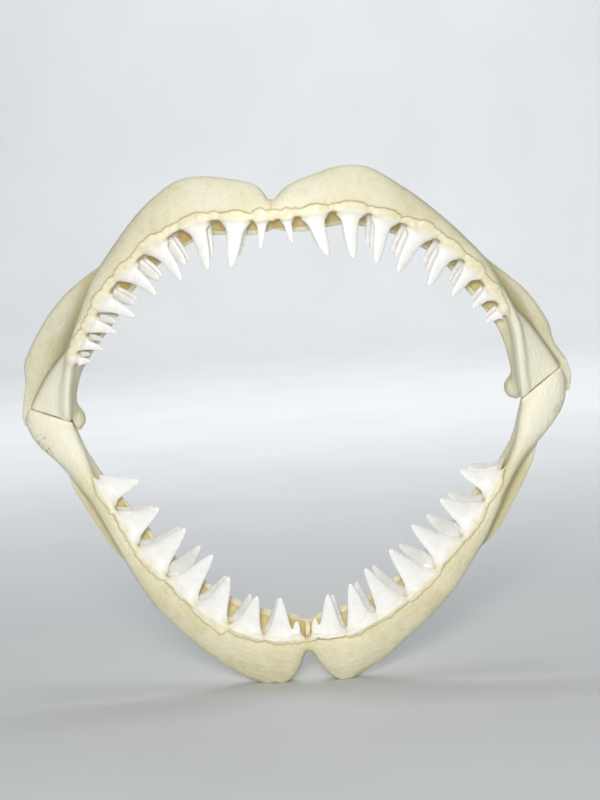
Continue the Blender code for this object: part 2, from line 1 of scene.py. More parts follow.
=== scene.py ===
"""The jaws of a great white shark as a painted museum replica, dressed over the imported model.

Sizes along the gum lines are in millimetres, drawn with the half jaw at +X, and are mirrored for the
shark's right side, moved and scaled to metres last. The shark looks along -Y.
"""

import math
import random

import bpy
import numpy as np
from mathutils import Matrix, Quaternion, Vector
from mathutils.bvhtree import BVHTree
from mathutils.kdtree import KDTree


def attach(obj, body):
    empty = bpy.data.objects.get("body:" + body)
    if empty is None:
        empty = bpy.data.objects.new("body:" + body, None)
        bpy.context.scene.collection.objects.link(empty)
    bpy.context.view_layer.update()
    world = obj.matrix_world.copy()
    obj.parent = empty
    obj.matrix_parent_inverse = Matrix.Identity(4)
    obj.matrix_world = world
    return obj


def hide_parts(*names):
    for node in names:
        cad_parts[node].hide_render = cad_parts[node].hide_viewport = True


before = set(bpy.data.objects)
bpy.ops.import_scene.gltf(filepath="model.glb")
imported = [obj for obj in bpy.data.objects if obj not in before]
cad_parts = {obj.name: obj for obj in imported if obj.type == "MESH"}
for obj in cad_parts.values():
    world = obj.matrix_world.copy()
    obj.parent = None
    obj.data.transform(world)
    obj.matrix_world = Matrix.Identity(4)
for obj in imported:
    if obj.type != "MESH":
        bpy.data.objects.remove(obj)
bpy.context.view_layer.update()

MM = 0.001
# From the drawing place of the gum lines to the model's place on the floor
MOVED = np.array([1.484, 59.964, 0.0])

# ---------------------------------------------------------------- the gum lines

# x, y, z of the gum line, height of the bar, crest, waist, shelf, rim, trough and tilt in degrees
UPPER = [
    (0, -165, 546, 26, 13, 18, 38, 3, 12, 12),
    (14, -164, 546, 39, 15, 22, 43, 5, 13, 12),
    (32, -162, 547, 47, 17, 26, 46, 7, 13, 12),
    (60, -157, 549, 53, 18, 28, 48, 8, 13, 12),
    (90, -147, 547, 59, 18, 28, 48, 8, 13, 12),
    (129, -130, 530, 53, 17, 27, 46, 8, 13, 12),
    (170, -105, 503, 41, 15, 25, 44, 8, 13, 14),
    (201, -83, 473, 31, 14, 24, 42, 8, 12, 16),
    (224, -64, 442, 24, 13, 23, 40, 8, 12, 18),
    (240, -51, 420, 20, 13, 23, 38, 8, 11, 18),
    (254, -40, 397, 17, 13, 23, 36, 8, 9, 18),
    (263, -29, 372, 15, 13, 23, 34, 7, 4, 16),
    (269, -19, 346, 15, 14, 23, 32, 5, 3, 14),
    (272, -10, 318, 16, 15, 23, 31, 4, 3, 12),
    (275, -4, 292, 16, 15, 23, 31, 4, 3, 12),
]
LOWER = [
    (0, -88, 62, 24, 16, 22, 40, 3, 12, 18),
    (12, -88, 61, 36, 26, 28, 46, 6, 13, 18),
    (25, -87, 60, 60, 34, 38, 50, 8, 13, 18),
    (41, -86, 61, 72, 38, 42, 52, 10, 13, 18),
    (64, -83, 66, 68, 33, 40, 52, 10, 13, 19),
    (103, -75, 82, 46, 23, 33, 48, 10, 13, 19),
    (140, -63, 107, 38, 18, 29, 46, 10, 13, 18),
    (170, -53, 140, 32, 16, 27, 44, 9, 13, 16),
    (201, -38, 177, 27, 16, 26, 42, 8, 12, 14),
    (225, -26, 217, 25, 18, 26, 38, 6, 11, 12),
    (242, -15, 250, 29, 22, 28, 34, 3, 6, 8),
    (259, -8, 285, 41, 26, 30, 32, 1, 3, 4),
    (273, -2, 319, 50, 28, 32, 32, 0, 3, 0),
    (287, 3, 352, 46, 28, 32, 32, 0, 3, 0),
    (301, 8, 385, 36, 28, 32, 32, 0, 3, 0),
]
# Distance along the gum line, gum line moved out, bar's height changed
UPPER_DIFFERS = {
    "left": [(0, 0, 0), (10, 0, -3), (50, 0, -3), (70, 0, -2), (92, 1, 1), (110, 3, -3), (136, 5, -8),
             (160, 8, -9), (185, 11, -10), (227, 13, -7.5), (265, 14, -1), (298, 13, 0), (326, 11, 0),
             (355, 9, 0), (380, 6, 0), (400, 1, 0), (430, 0, 0)],
    "right": [(0, 0, 0), (20, 0, 2), (45, 0, 0), (78, 0, -1), (92, 0, 1.5), (125, 0, -3), (170, 0, -3),
              (207, 0, -3), (240, 0, 1), (270, 0, 2.5), (330, 0, 0), (352, 2, 0), (370, 6, -1),
              (392, 7, -1), (420, 5, 0)],
}
LOWER_DIFFERS = {
    "left": [(0, 0, 0), (20, 0, 0), (30, 0, 3), (40, 0, 0), (50, 0, -6), (60, -1, -8), (78, -3, -1.5),
             (105, -4, 4), (150, -5, 5), (170, -4, 6), (185, -3, 5.5), (215, -1, 4.5), (245, 2, 1.5),
             (280, 2, 0), (310, 4, -3), (340, 8.5, -9), (355, 9.5, -10), (372, 9, -7), (390, 4, -1),
             (405, 1.5, 1), (420, 2, 2.5), (435, 1, 2), (450, 0, -1.5)],
    "right": [(0, 0, 0), (20, 0, 4), (30, 0, 4), (45, 0, -1), (60, 0, -1.5), (90, -1, 6.5), (115, -3, 10),
              (150, -4, 7), (180, -4, 10), (205, -2, 8), (235, 0, 2.5), (265, -3, 3), (300, -3, 2),
              (335, 0, -2), (362, 1.5, -1.5), (375, 1.5, -3.5), (390, 1, -1.5), (400, 0.5, 1),
              (410, 0, 5), (422, 0, 6), (440, 0, 7)],
}
# How far the front of the bar leads inwards of its back near the joint: distance along, and lead
UPPER_LEAD = {"left": [(342, 0), (375, 4)], "right": [(338, 0), (372, 10)]}
LOWER_LEAD = {"left": [(345, 0), (372, 3)], "right": [(345, 0), (372, 7)]}

# Teeth from the midline to the joint: distance along, height, base width, lean to the midline, and how
# much farther along the tooth behind it stands
UPPER_TEETH = {
    "left": [(17, 26, 17, -6, -7), (49, 46, 35, -7, -7), (92, 50, 37, -11, 4), (133, 49, 36, -12, -13),
             (180, 52, 38, 3, -13), (223, 46, 34, -3, -14), (261, 36, 30, -7, -12), (298, 25, 24, 6, -9),
             (326, 21, 20, 10, -8)],
    "right": [(13, 30, 18, -2, -4), (43, 50, 37, -2, -4), (92, 52, 37, -1, -4), (150, 48, 38, 9, -12),
              (202, 44, 38, 16, -13), (256, 41, 33, 18, -14), (291, 32, 27, 26, -10), (320, 25, 22, 23, -10),
              (345, 17, 19, 28, -8)],
}
LOWER_TEETH = {
    "left": [(10, 19, 12, 5, 0), (28, 50, 36, -1, 6), (67, 53, 40, -6, 9), (108, 59, 43, 3, 14),
             (155, 56, 46, 0, 22), (204, 54, 47, 5, 24), (254, 46, 47, 2, 14), (304, 40, 44, 9, 12)],
    "right": [(12, 17, 12, 7, 0), (32, 49, 38, 4, 9), (74, 46, 40, 3, 12), (121, 52, 44, 4, 13),
              (167, 60, 47, -1, 22), (219, 59, 48, 5, 13), (270, 45, 47, 5, 10), (323, 42, 44, 15, 9)],
}


def curve_through(four, share):
    """A smooth value between the second and third of four."""
    before, start, end, after = four
    return 0.5 * (
        2 * start
        + (end - before) * share
        + (2 * before - 5 * start + 4 * end - after) * share**2
        + (3 * start - before - 3 * end + after) * share**3
    )


def unit(vectors):
    """Vectors of length one."""
    return vectors / np.linalg.norm(vectors, axis=-1, keepdims=True)


def smooth_step(low, high, value):
    """0 below low, 1 above high and smooth between."""
    share = np.clip((value - low) / (high - low), 0, 1)
    return share * share * (3 - 2 * share)


class GumLine:
    """The gum line of one half jaw, drawn at +X in millimetres."""

    PER_STATION = 24
    # Points along the line among which the nearest is looked for, and how many points look at a time
    SAMPLES = 300
    AT_A_TIME = 20000
    # Half the step over which the way of the line, in stations, and of its section, in places, is taken
    STATION_STEP = 0.02
    PLACE_STEP = 0.05

    def __init__(self, jaw, side):
        self.upper = jaw == "upper"
        self.side = side
        stations = np.array(UPPER if self.upper else LOWER, float)
        self.differs = np.array((UPPER_DIFFERS if self.upper else LOWER_DIFFERS)[side], float)
        self.lead = np.array((UPPER_LEAD if self.upper else LOWER_LEAD)[side], float)
        self.teeth = (UPPER_TEETH if self.upper else LOWER_TEETH)[side]
        ghost = stations[1].copy()
        ghost[0] = -ghost[0]
        self.table = np.vstack([ghost, stations, 2 * stations[-1] - stations[-2]])
        self.places = np.linspace(0, len(stations) - 1, (len(stations) - 1) * self.PER_STATION + 1)
        points = self.sizes(self.places)[:, :3]
        steps = np.linalg.norm(np.diff(points, axis=0), axis=1)
        self.marks = np.concatenate([[0.0], np.cumsum(steps)])

    def sizes(self, place):
        """The station's numbers at places counted in stations."""
        place = np.asarray(place, float)
        first = np.clip(place.astype(int), 0, len(self.table) - 4)
        four = [self.table[first + k] for k in range(4)]
        return curve_through(four, (place - first)[..., None])

    def frame(self, along):
        """Origins, ways along, out and back, and sizes, at distances along the line."""
        place = np.interp(along, self.marks, self.places)
        here = self.sizes(place)
        ahead = self.sizes(place + self.STATION_STEP)
        behind = self.sizes(np.maximum(0, place - self.STATION_STEP))
        way = unit(ahead[..., :3] - behind[..., :3])
        turned = np.stack([-way[..., 2], 0 * way[..., 0], way[..., 0]], -1)
        out = unit(turned if self.upper else -turned)
        back = unit(np.array([0.0, 1.0, 0.0]) - way * way[..., 1:2])
        turn = np.radians(here[..., 9:10])
        tilted_out = out * np.cos(turn) + back * np.sin(turn)
        tilted_back = back * np.cos(turn) - out * np.sin(turn)
        gum, height = (np.interp(along, self.differs[:, 0], self.differs[:, k]) for k in (1, 2))
        lead = np.interp(along, self.lead[:, 0], self.lead[:, 1])
        here = np.concatenate([here, lead[..., None]], -1)
        here[..., 3] += height
        return here[..., :3] + tilted_out * gum[..., None], way, tilted_out, tilted_back, here

    def surface(self, along, place, lift):
        """Points at a lift above the cartilage, at distances along it and places round its section."""
        origin, _, out, back, size = self.frame(along)
        o, b = self.section_point(size, place, lift)
        return origin + out * o[..., None] + back * b[..., None]

    def section_point(self, size, place, lift):
        """(out, back) at a place round the section and a lift above it."""
        corners = section_corners(size)
        o, b = on_section(corners, place)
        o2, b2 = on_section(corners, place + self.PLACE_STEP)
        o1, b1 = on_section(corners, place - self.PLACE_STEP)
        length = np.hypot(o2 - o1, b2 - b1)
        return o + (b2 - b1) / length * lift, b - (o2 - o1) / length * lift

    def world(self, points):
        """Points of the drawing, moved to where the model stands, in metres."""
        points = points.copy()
        if self.side == "right":
            points[..., 0] *= -1
        return (points + MOVED) * MM

    def drawing(self, points):
        """Points of the model, back in the drawing at +X in millimetres."""
        points = points / MM - MOVED
        if self.side == "right":
            points[..., 0] *= -1
        return points

    def local(self, points):
        """Distance along, out and back of points of the drawing."""
        samples = np.linspace(0, self.marks[-1], self.SAMPLES)
        origin, way, out, back, _ = self.frame(samples)
        nearest = np.empty(len(points), int)
        for start in range(0, len(points), self.AT_A_TIME):
            part = points[start : start + self.AT_A_TIME]
            square = (part**2).sum(1)[:, None] - 2 * part @ origin.T + (origin**2).sum(1)[None]
            nearest[start : start + self.AT_A_TIME] = square.argmin(1)
        from_origin = points - origin[nearest]
        along = samples[nearest] + (from_origin * way[nearest]).sum(1)
        return along, (from_origin * out[nearest]).sum(1), (from_origin * back[nearest]).sum(1)


def section_corners(size):
    """The corners of the bar's section, from the front of the gum edge round the free edge."""
    height, crest, waist, shelf, rim, trough = (size[..., k] for k in range(3, 9))
    lead = size[..., 10]
    gum = 0.5 * trough
    face = height - gum
    full = 0.06 * height
    roll = np.minimum(0.24 * crest, 5.5)
    # Each is (out, back), as shares of the sizes with a millimetre or two for the rounding
    corners = [
        (gum, 2.5 + 0 * gum),
        (gum + 0.30 * face, -full),
        (gum + 0.68 * face, -0.6 * full),
        (height - roll, 0.08 * crest),
        (height, 0.48 * crest),
        (height - roll, 0.94 * crest),
        (0.62 * height, waist),
        (0.28 * height, 0.5 * (waist + shelf)),
        (0 * gum, shelf),
        (-0.75 * rim, shelf - 1.0),
        (-rim, shelf - 4.5),
        (-0.35 * rim, shelf - 9.0),
        (0.75 * trough, 0.62 * shelf),
        (trough, 0.40 * shelf),
        (gum + 1.5, 8.5 + 0 * gum),
    ]
    led = [(o - lead * np.maximum(0, 1 - b / shelf), b) for o, b in corners]
    return np.stack([np.stack(corner, -1) for corner in led], -2)


def on_section(corners, place):
    """(out, back) of the closed smooth curve through the corners."""
    place = np.broadcast_to(place, corners.shape[:-2])
    first = np.floor(place).astype(int)
    four = []
    for k in (-1, 0, 1, 2):
        index = (first + k) % corners.shape[-2]
        four.append(np.take_along_axis(corners, index[..., None, None], -2)[..., 0, :])
    point = curve_through(four, (place - first)[..., None])
    return point[..., 0], point[..., 1]


LINES = {(jaw, side): GumLine(jaw, side) for jaw in ("upper", "lower") for side in ("left", "right")}

# ---------------------------------------------------------------- small helpers


def only(piece):
    """Selects one piece and makes it active."""
    if bpy.context.object and bpy.context.object.mode != "OBJECT":
        bpy.ops.object.mode_set(mode="OBJECT")
    bpy.ops.object.select_all(action="DESELECT")
    piece.select_set(True)
    bpy.context.view_layer.objects.active = piece


def edit(piece):
    """Opens one piece in edit mode with all of it selected."""
    only(piece)
    bpy.ops.object.mode_set(mode="EDIT")
    bpy.ops.mesh.select_all(action="SELECT")


def done():
    """Back to object mode."""
    bpy.ops.object.mode_set(mode="OBJECT")


def pick(piece, chosen):
    """Opens the active piece in edit mode with the chosen vertices and the edges between them selected."""
    for vertex in piece.data.vertices:
        vertex.select = bool(chosen[vertex.index])
    for edge in piece.data.edges:
        edge.select = all(bool(chosen[v]) for v in edge.vertices)
    for face in piece.data.polygons:
        face.select = False
    bpy.ops.object.mode_set(mode="EDIT")


def finish_with(piece, kind, **settings):
    """Adds a modifier to a piece and applies it."""
    only(piece)
    modifier = piece.modifiers.new(kind.lower(), kind)
    for name, value in settings.items():
        setattr(modifier, name, value)
    bpy.ops.object.modifier_apply(modifier=modifier.name)


def corners_of(piece):
    """The places of a piece's vertices."""
    co = np.empty(len(piece.data.vertices) * 3, np.float32)
    piece.data.vertices.foreach_get("co", co)
    return co.reshape(-1, 3).astype(float)


def put_corners(piece, points):
    """Moves a piece's vertices."""
    piece.data.vertices.foreach_set("co", np.ascontiguousarray(points, np.float32).ravel())
    piece.data.update()


def paint(piece, name, values):
    """Keeps one number for each vertex, which a material reads."""
    layer = piece.data.attributes.new(name, "FLOAT", "POINT")
    layer.data.foreach_set("value", np.ascontiguousarray(values, np.float32))


def normals_of(piece):
    """The vertex normals of a piece."""
    out = np.empty(len(piece.data.vertices) * 3, np.float32)
    piece.data.vertices.foreach_get("normal", out)
    return out.reshape(-1, 3).astype(float)


# Of a value, what stays and what comes in from its neighbours at each round
STAYS, COMES_IN = 0.4, 0.6


def relaxed(piece, values, rounds):
    """Values of the vertices, each drawn towards its neighbours' mean again and again."""
    pairs = np.empty(len(piece.data.edges) * 2, np.int32)
    piece.data.edges.foreach_get("vertices", pairs)
    a, b = pairs.reshape(-1, 2).T
    count = np.bincount(a, minlength=len(values)) + np.bincount(b, minlength=len(values))
    count = np.maximum(count, 1)[:, None]
    values = values.reshape(len(values), -1)
    for _ in range(rounds):
        sums = [np.bincount(a, column[b], len(values)) + np.bincount(b, column[a], len(values))
                for column in values.T]
        values = STAYS * values + COMES_IN * np.stack(sums, 1) / count
    return values


def melted(piece, points, share, rounds, swell=0.0):
    """The vertices relaxed by a share of each, and swelled again by some millimetres."""
    share = share[:, None]
    points = points * (1 - share) + relaxed(piece, points, rounds) * share
    return points + normals_of(piece) * share * swell * MM


WAVES = 9


def wander(points, wave, seed):
    """A smooth random field between about -1 and 1, with waves of about a length in millimetres."""
    dice = random.Random(seed)
    total = np.zeros(len(points))
    for _ in range(WAVES):
        direction = np.array([dice.gauss(0, 1) for _ in range(3)])
        direction /= np.linalg.norm(direction)
        length = wave * dice.uniform(0.7, 1.5)
        total += np.sin(points @ direction * (2 * math.pi / length) + dice.uniform(0, 2 * math.pi))
    return total / math.sqrt(WAVES)


# ---------------------------------------------------------------- the cartilages

FINE = 1.3 * MM
# Edges of the solids sharper than this are kept as soft rims, and how tightly; the flat ends at the
# midline are kept too
RIM_ANGLE = math.radians(62)
RIM_CREASE = 0.5
MIDLINE_CREASE = 0.6
# Half the width of the pad between the halves
PAD_HALF = 5.0
# The pad is drawn this much wider while the skin is cast, so that no gap is left beside it
PAD_STRETCH = 1.12
# Small flakes lost from the paint on the lower heads: side, distance along and out, and spread
CHIPPED = [("right", 412, 42, 9), ("right", 398, 36, 7), ("left", 408, 45, 8), ("left", 424, 44, 5)]
# Soft joins, as reach, rounds and swelling: at the midline, along the rods and heads by the joint, and
# round the neck of the knob, which stands at a place of the drawing
MIDLINE_REACH, MIDLINE_ROUNDS = 9.0, 26
JOINT_FROM, JOINT_FULL = 285, 330
JOINT_ROUNDS, JOINT_SWELL = {"upper": 110, "lower": 60}, 0.6
KNOB, KNOB_REACH, KNOB_ROUNDS, KNOB_SWELL = (262, 20, 336), 21.0, 170, 0.9
# The joint's own edges stay as they are: nothing melts this near the other jaw, and all of it this far off
JOINT_NEAR, JOINT_FAR = 2.0, 8.0
# Fine and broad unevenness, and how deep a flake goes
UNEVEN = {"upper": (0.09, 0.32), "lower": (0.13, 0.45)}
FLAKE = 0.7
# Rounds of relaxing that tell the broad hollows and the narrow grooves
HOLLOW_ROUNDS, GROOVE_ROUNDS = 40, 10


def cast_skin(jaw):
    """One skin over a jaw's two cartilages and the pad between them, its cut edges kept as soft rims."""
    copies = []
    for node in (f"{jaw}_jaw_left", f"{jaw}_jaw_right", f"{jaw}_symphysis"):
        copy = bpy.data.objects.new(node + "_cast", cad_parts[node].data.copy())
        bpy.context.scene.collection.objects.link(copy)
        if "symphysis" in node:
            points = corners_of(copy)
            middle = MOVED[0] * MM
            points[:, 0] = middle + (points[:, 0] - middle) * PAD_STRETCH
            put_corners(copy, points)
        copies.append(copy)
    only(copies[0])
    for copy in copies:
        copy.select_set(True)
    bpy.ops.object.join()
    skin = copies[0]
    edit(skin)
    bpy.ops.mesh.remove_doubles(threshold=0.00002)
    bpy.ops.mesh.tris_convert_to_quads(face_threshold=math.radians(35), shape_threshold=math.radians(50))
    bpy.ops.mesh.select_all(action="DESELECT")
    bpy.ops.mesh.edges_select_sharp(sharpness=RIM_ANGLE)
    bpy.ops.transform.edge_crease(value=RIM_CREASE)
    done()
    # The flat ends at the midline stay flat, so the three bodies run together there
    points = corners_of(skin)
    pick(skin, np.abs(points[:, 0] / MM - MOVED[0]) < PAD_HALF * PAD_STRETCH + 0.1)
    bpy.ops.transform.edge_crease(value=MIDLINE_CREASE)
    done()
    finish_with(skin, "SUBSURF", levels=2, render_levels=2)
    finish_with(skin, "REMESH", mode="VOXEL", voxel_size=FINE)
    finish_with(skin, "SMOOTH", factor=0.5, iterations=8)
    return skin


def off_joint(skin, jaw, along):
    """1 well away from the other jaw, falling to 0 where the two meet at the joint."""
    share = np.ones(len(along))
    points = corners_of(skin)
    for side in ("left", "right"):
        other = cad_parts[f"{'lower' if jaw == 'upper' else 'upper'}_jaw_{side}"].data
        tree = BVHTree.FromPolygons([v.co for v in other.vertices], [f.vertices for f in other.polygons])
        for i in np.flatnonzero(along > JOINT_FROM):
            far = tree.find_nearest(points[i], JOINT_FAR * MM)[3]
            if far is not None:
                share[i] = min(share[i], smooth_step(JOINT_NEAR, JOINT_FAR, far / MM))
    return share


def weather(skin, jaw):
    """Melts the joins of the cast, brushes its surface and keeps what its paint and its painted light and
    shade follow.
    """
    points = corners_of(skin)
    half = {side: (points[:, 0] / MM > MOVED[0]) == (side == "left") for side in ("left", "right")}
    mirror = np.where(half["left"][:, None], 1, (-1, 1, 1))
    drawn = np.empty_like(points)
    flow = np.empty_like(points)
    over = np.empty(len(points))
    for side, mine in half.items():
        line = LINES[jaw, side]
        drawn[mine] = line.drawing(points[mine])
        flow[mine] = np.stack(line.local(drawn[mine]), -1)
        over[mine] = flow[mine, 1] - line.frame(flow[mine, 0])[4][:, 3]
    along, out, back = flow.T

    points = melted(skin, points, np.exp(-((drawn[:, 0] / MIDLINE_REACH) ** 2)), MIDLINE_ROUNDS)
    inner = smooth_step(1, -12, over)
    soft = off_joint(skin, jaw, along) * smooth_step(JOINT_FROM, JOINT_FULL, along) * inner
    points = melted(skin, points, soft, JOINT_ROUNDS[jaw], JOINT_SWELL)
    if jaw == "upper":
        off_knob = ((drawn - KNOB) ** 2).sum(1) / KNOB_REACH**2
        points = melted(skin, points, np.exp(-(off_knob**2)), KNOB_ROUNDS, KNOB_SWELL)
    put_corners(skin, points)
    drawn = mirror * (points / MM - MOVED)
    normal = normals_of(skin) * mirror

    # Ridges along the brush's way, dabs of it, and the broad waves of a hand-made mould
    fine, broad = UNEVEN[jaw]
    ridges = wander(flow * (0.45, 1, 1), 6.5, 6)
    dabs = wander(drawn, 4.2, 8)
    relief = 0.2 + broad * wander(drawn, 44, 5) * 0.6 + fine * (ridges + 0.6 * dabs)
    chips = np.zeros(len(points))
    if jaw == "lower":
        flakes = smooth_step(0.55, 0.95, wander(drawn, 3.4, 17))
        for side, at, reach, spread in CHIPPED:
            near = np.exp(-(((along - at) / spread) ** 2 + ((out - reach) / spread) ** 2))
            chips = np.maximum(chips, np.where(half[side] & (back < 16), near, 0) * flakes)
        relief = relief - FLAKE * chips
    # How deep each point lies in a broad hollow and in a narrow groove; the paint darkens these with wash and
    # painted shade, and lightens the ridges with wear and a painted highlight
    hollow, groove = (((relaxed(skin, drawn, rounds) - drawn) * normal).sum(1)
                      for rounds in (HOLLOW_ROUNDS, GROOVE_ROUNDS))
    drawn = drawn + normal * relief[:, None]
    drawn[:, 2] = np.maximum(drawn[:, 2], 0.0)
    put_corners(skin, (drawn * mirror + MOVED) * MM)

    # The painted shadow under the gum band's edge, and the wash beside it
    painted_edge_shadow = np.zeros(len(points))
    gum_wash = np.zeros(len(points))
    for side, mine in half.items():
        line = LINES[jaw, side]
        end = band_end(line)
        past = out[mine] - band_edge(line, along[mine])
        facing = (back[mine] < 8) & (along[mine] < end + 6)
        ending = smooth_step(end - 1, end - 9, along[mine])
        painted_edge_shadow[mine] = np.where(facing, np.exp(-((past / 1.1) ** 2)), 0) * ending
        gum_wash[mine] = np.where(facing, np.exp(-(np.maximum(past, 0) / 8.0)), 0)
    plate = smooth_step(1, 6, over) * smooth_step(205, 250, along)
    guides = {
        "hollow": hollow,
        "groove": groove,
        "painted_edge_shadow": painted_edge_shadow,
        "gum_wash": gum_wash,
        # Painted shade in the recess of the plates, beside the bar
        "painted_recess_shade": plate * smooth_step(30, 14, over) * smooth_step(4, 16, back),
        # A painted highlight on the plateaus of the upper jaw and on the heads of the lower jaw
        "painted_highlight": (smooth_step(330, 385, along) if jaw == "lower"
                 else smooth_step(255, 320, along) * smooth_step(15, 8, back)),
        # Painted shade on the surfaces that turn away from the front, darker the more they face sideways
        "painted_side_shade": smooth_step(0.85, 0.35, -normal[:, 1]) * smooth_step(-0.6, 0.0, -normal[:, 1]),
        "chips": chips,
        "midline": np.exp(-((drawn[:, 0] / 1.3) ** 2)),
    }
    for name, values in guides.items():
        paint(skin, name, values)
    layer = skin.data.attributes.new("flow", "FLOAT_VECTOR", "POINT")
    layer.data.foreach_set("vector", np.ascontiguousarray(flow, np.float32).ravel())


def parted(skin, name, low, high):
    """A copy of the skin between two places across the midline, its cuts closed."""
    piece = bpy.data.objects.new(name, skin.data.copy())
    piece.data.name = name
    bpy.context.scene.collection.objects.link(piece)
    for at, keep_above in ((low, True), (high, False)):
        if at is None:
            continue
        edit(piece)
        bpy.ops.mesh.bisect(plane_co=((MOVED[0] + at) * MM, 0, 0), plane_no=(1, 0, 0), use_fill=True,
                            clear_inner=keep_above, clear_outer=not keep_above, threshold=1e-7)
        done()
    only(piece)
    bpy.ops.object.shade_smooth_by_angle(angle=math.radians(50))
    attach(piece, "root")
    return piece


def cartilages(jaw):
    """The skins of a jaw's two cartilages and the pad between them."""
    skin = cast_skin(jaw)
    weather(skin, jaw)
    made = {
        "right": parted(skin, f"{jaw}_cartilage_right", None, -PAD_HALF),
        "pad": parted(skin, f"{jaw}_ligament", -PAD_HALF, PAD_HALF),
        "left": parted(skin, f"{jaw}_cartilage_left", PAD_HALF, None),
    }
    bpy.data.objects.remove(skin)
    for part, piece in made.items():
        node = f"{jaw}_symphysis" if part == "pad" else f"{jaw}_jaw_{part}"
        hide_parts(node)
    return made


# ---------------------------------------------------------------- the gum bands

# Places round the section from the inner rim to the gum edge, and the band's thickness there
BAND_PLACES = [11, 11.12, 11.35, 11.7, 12.0, 12.5, 13.0, 13.5, 14.0, 14.5, 15.0]
BAND_LIFT = [0.2, 1.2, 2.2, 4.0, 5.0, 5.5, 5.7, 5.9, 6.2, 6.3, 5.4]
# Share of the way up the front face, and thickness
FACE_SHARE = [0.0, 0.25, 0.5, 0.75, 0.9, 0.97, 1.0]
FACE_LIFT = [5.4, 4.2, 3.1, 2.1, 1.6, 1.1, 0.3]
BURIED = -1.6
# Step along the band's sheet, how many lines of it lie over the rim and under the band, and its size
# before it is rolled
BAND_STEP, BAND_STEP_QUICK = 1.3, 3.0
OVER_RIM, UNDER_BAND = 46, 20
SHEET = 0.4
# The places of the gum's ridge and of the section's front corner, and where the white feet begin
RIDGE, FRONT, FOOT_FROM = 14.5, 15, 13.7
# Half widths of a foot and of a lobe of the band's edge, as shares of the tooth's base width
FOOT_HALF, LOBE_HALF = 0.51, 0.53
# Lift, slope and depth that a lobe may have; the lower ones are shallower, and the first sit lower
LOBE_RANGES = ((-1.5, 1.5), (-1.1, 1.1), (0.7, 1.6))
LOWER_LOBE, CHIN_DROP, CHIN_END = 0.4, 1.6, 40
# How far the band's free edge stands beyond the gum line, and how far the gum draws back between teeth
BAND_REACH = {"upper": 12.6, "lower": 9.2}
ARCH = {"upper": 3.8, "lower": 2.4}
# Lobes of the band's edge that stand out more than their neighbours: tooth, lift and slope in mm
LOBES = {("lower", "right"): {1: (-0.4, -0.6), 2: (0.2, 0.0), 3: (4.6, -2.4)}}
# How far out the white foot of a front tooth reaches over the gum, and how far it is raised
FOOT_REACH = {"upper": 3.2, "lower": 4.2}
FOOT_RISE = 0.7
# How deep the fold down the middle of a foot is, as a share of its rise
FOOT_FOLD = {"upper": 0.3, "lower": 0.9}
# How far each upper band laps over the midline
MIDLINE_LAP = 0.8


def band_end(line):
    """Where the band runs out beyond the last tooth."""
    return line.teeth[-1][0] + 0.5 * line.teeth[-1][2] + 3


def over_tooth(line, along):
    """The share across the nearest foot: -1 to 1 on the foot, and on beyond it."""
    share = np.full_like(along, 9.0)
    for place, _, width, _, _ in line.teeth:
        mine = (along - place) / (FOOT_HALF * width)
        share = np.where(np.abs(mine) < np.abs(share), mine, share)
    return share


def band_edge(line, along):
    """How far out the band's edge lies from the gum line: a lobe for each tooth, with a step between."""
    jaw = "upper" if line.upper else "lower"
    dice = random.Random(61 if line.side == "left" else 62)
    edge = np.zeros(along.shape)
    weight = np.full(along.shape, 1e-6)
    for k, (place, _, width, _, _) in enumerate(line.teeth):
        lift, slope, lobe = (dice.uniform(*limits) for limits in LOBE_RANGES)
        if not line.upper:
            lift = lift - (CHIN_DROP if place < CHIN_END else 0)
            lobe = LOWER_LOBE * lobe
        lift, slope = LOBES.get((jaw, line.side), {}).get(k, (lift, slope))
        share = (along - place) / (LOBE_HALF * width)
        near = np.exp(-((share / 0.97) ** 10))
        edge += near * (lift + slope * share + lobe * np.cos(np.clip(share, -1, 1) * math.pi))
        weight += near
    line_points = np.stack([along, 0 * along, 0 * along], -1)
    seed = 11 if line.side == "left" else 12
    ripple = 0.55 * wander(line_points, 13, seed) + 0.30 * wander(line_points, 5.5, seed + 3)
    wavy = (edge / np.maximum(weight, 0.6) + ripple) * smooth_step(0.0, 12.0, along)
    # It draws in towards the gum line beyond the last tooth
    ending = smooth_step(band_end(line), band_end(line) - 26, along)
    return (BAND_REACH[jaw] + wavy) * (0.45 + 0.55 * ending)


def white_foot(line, along, out):
    """How much a point of the band belongs to the white foot of a front tooth, 0 to 1."""
    share = over_tooth(line, along)
    t = np.abs(share)
    if line.upper:
        # A shallow arc, narrowing to its ends
        reach = FOOT_REACH["upper"] * (1 - 0.9 * np.clip(t, 0, 1) ** 2) + 0.4 * np.cos(share * 5.0)
    else:
        # Two lobes with a notch between them
        lobes = 0.8 * np.exp(-(((t - 0.55) / 0.30) ** 2)) - 0.9 * np.exp(-((share / 0.20) ** 2))
        reach = FOOT_REACH["lower"] * (1 - 0.5 * np.clip(t, 0, 1) ** 5) + lobes
    small = np.interp(along, [0, 14, 24], [0.45, 0.6, 1.0])
    across = smooth_step(1.06, 0.86, t)
    return across * smooth_step(reach * small + 2.2, reach * small - 1.6, out)


def face_place(size, out):
    """The place on the front face that lies a distance out from the gum line."""
    corners = section_corners(size)
    tries = np.linspace(0, 2.2, 45)
    reach = np.stack([on_section(corners, place)[0] for place in tries], -1)
    return np.array([np.interp(far, row, tries) for far, row in zip(out, reach)])


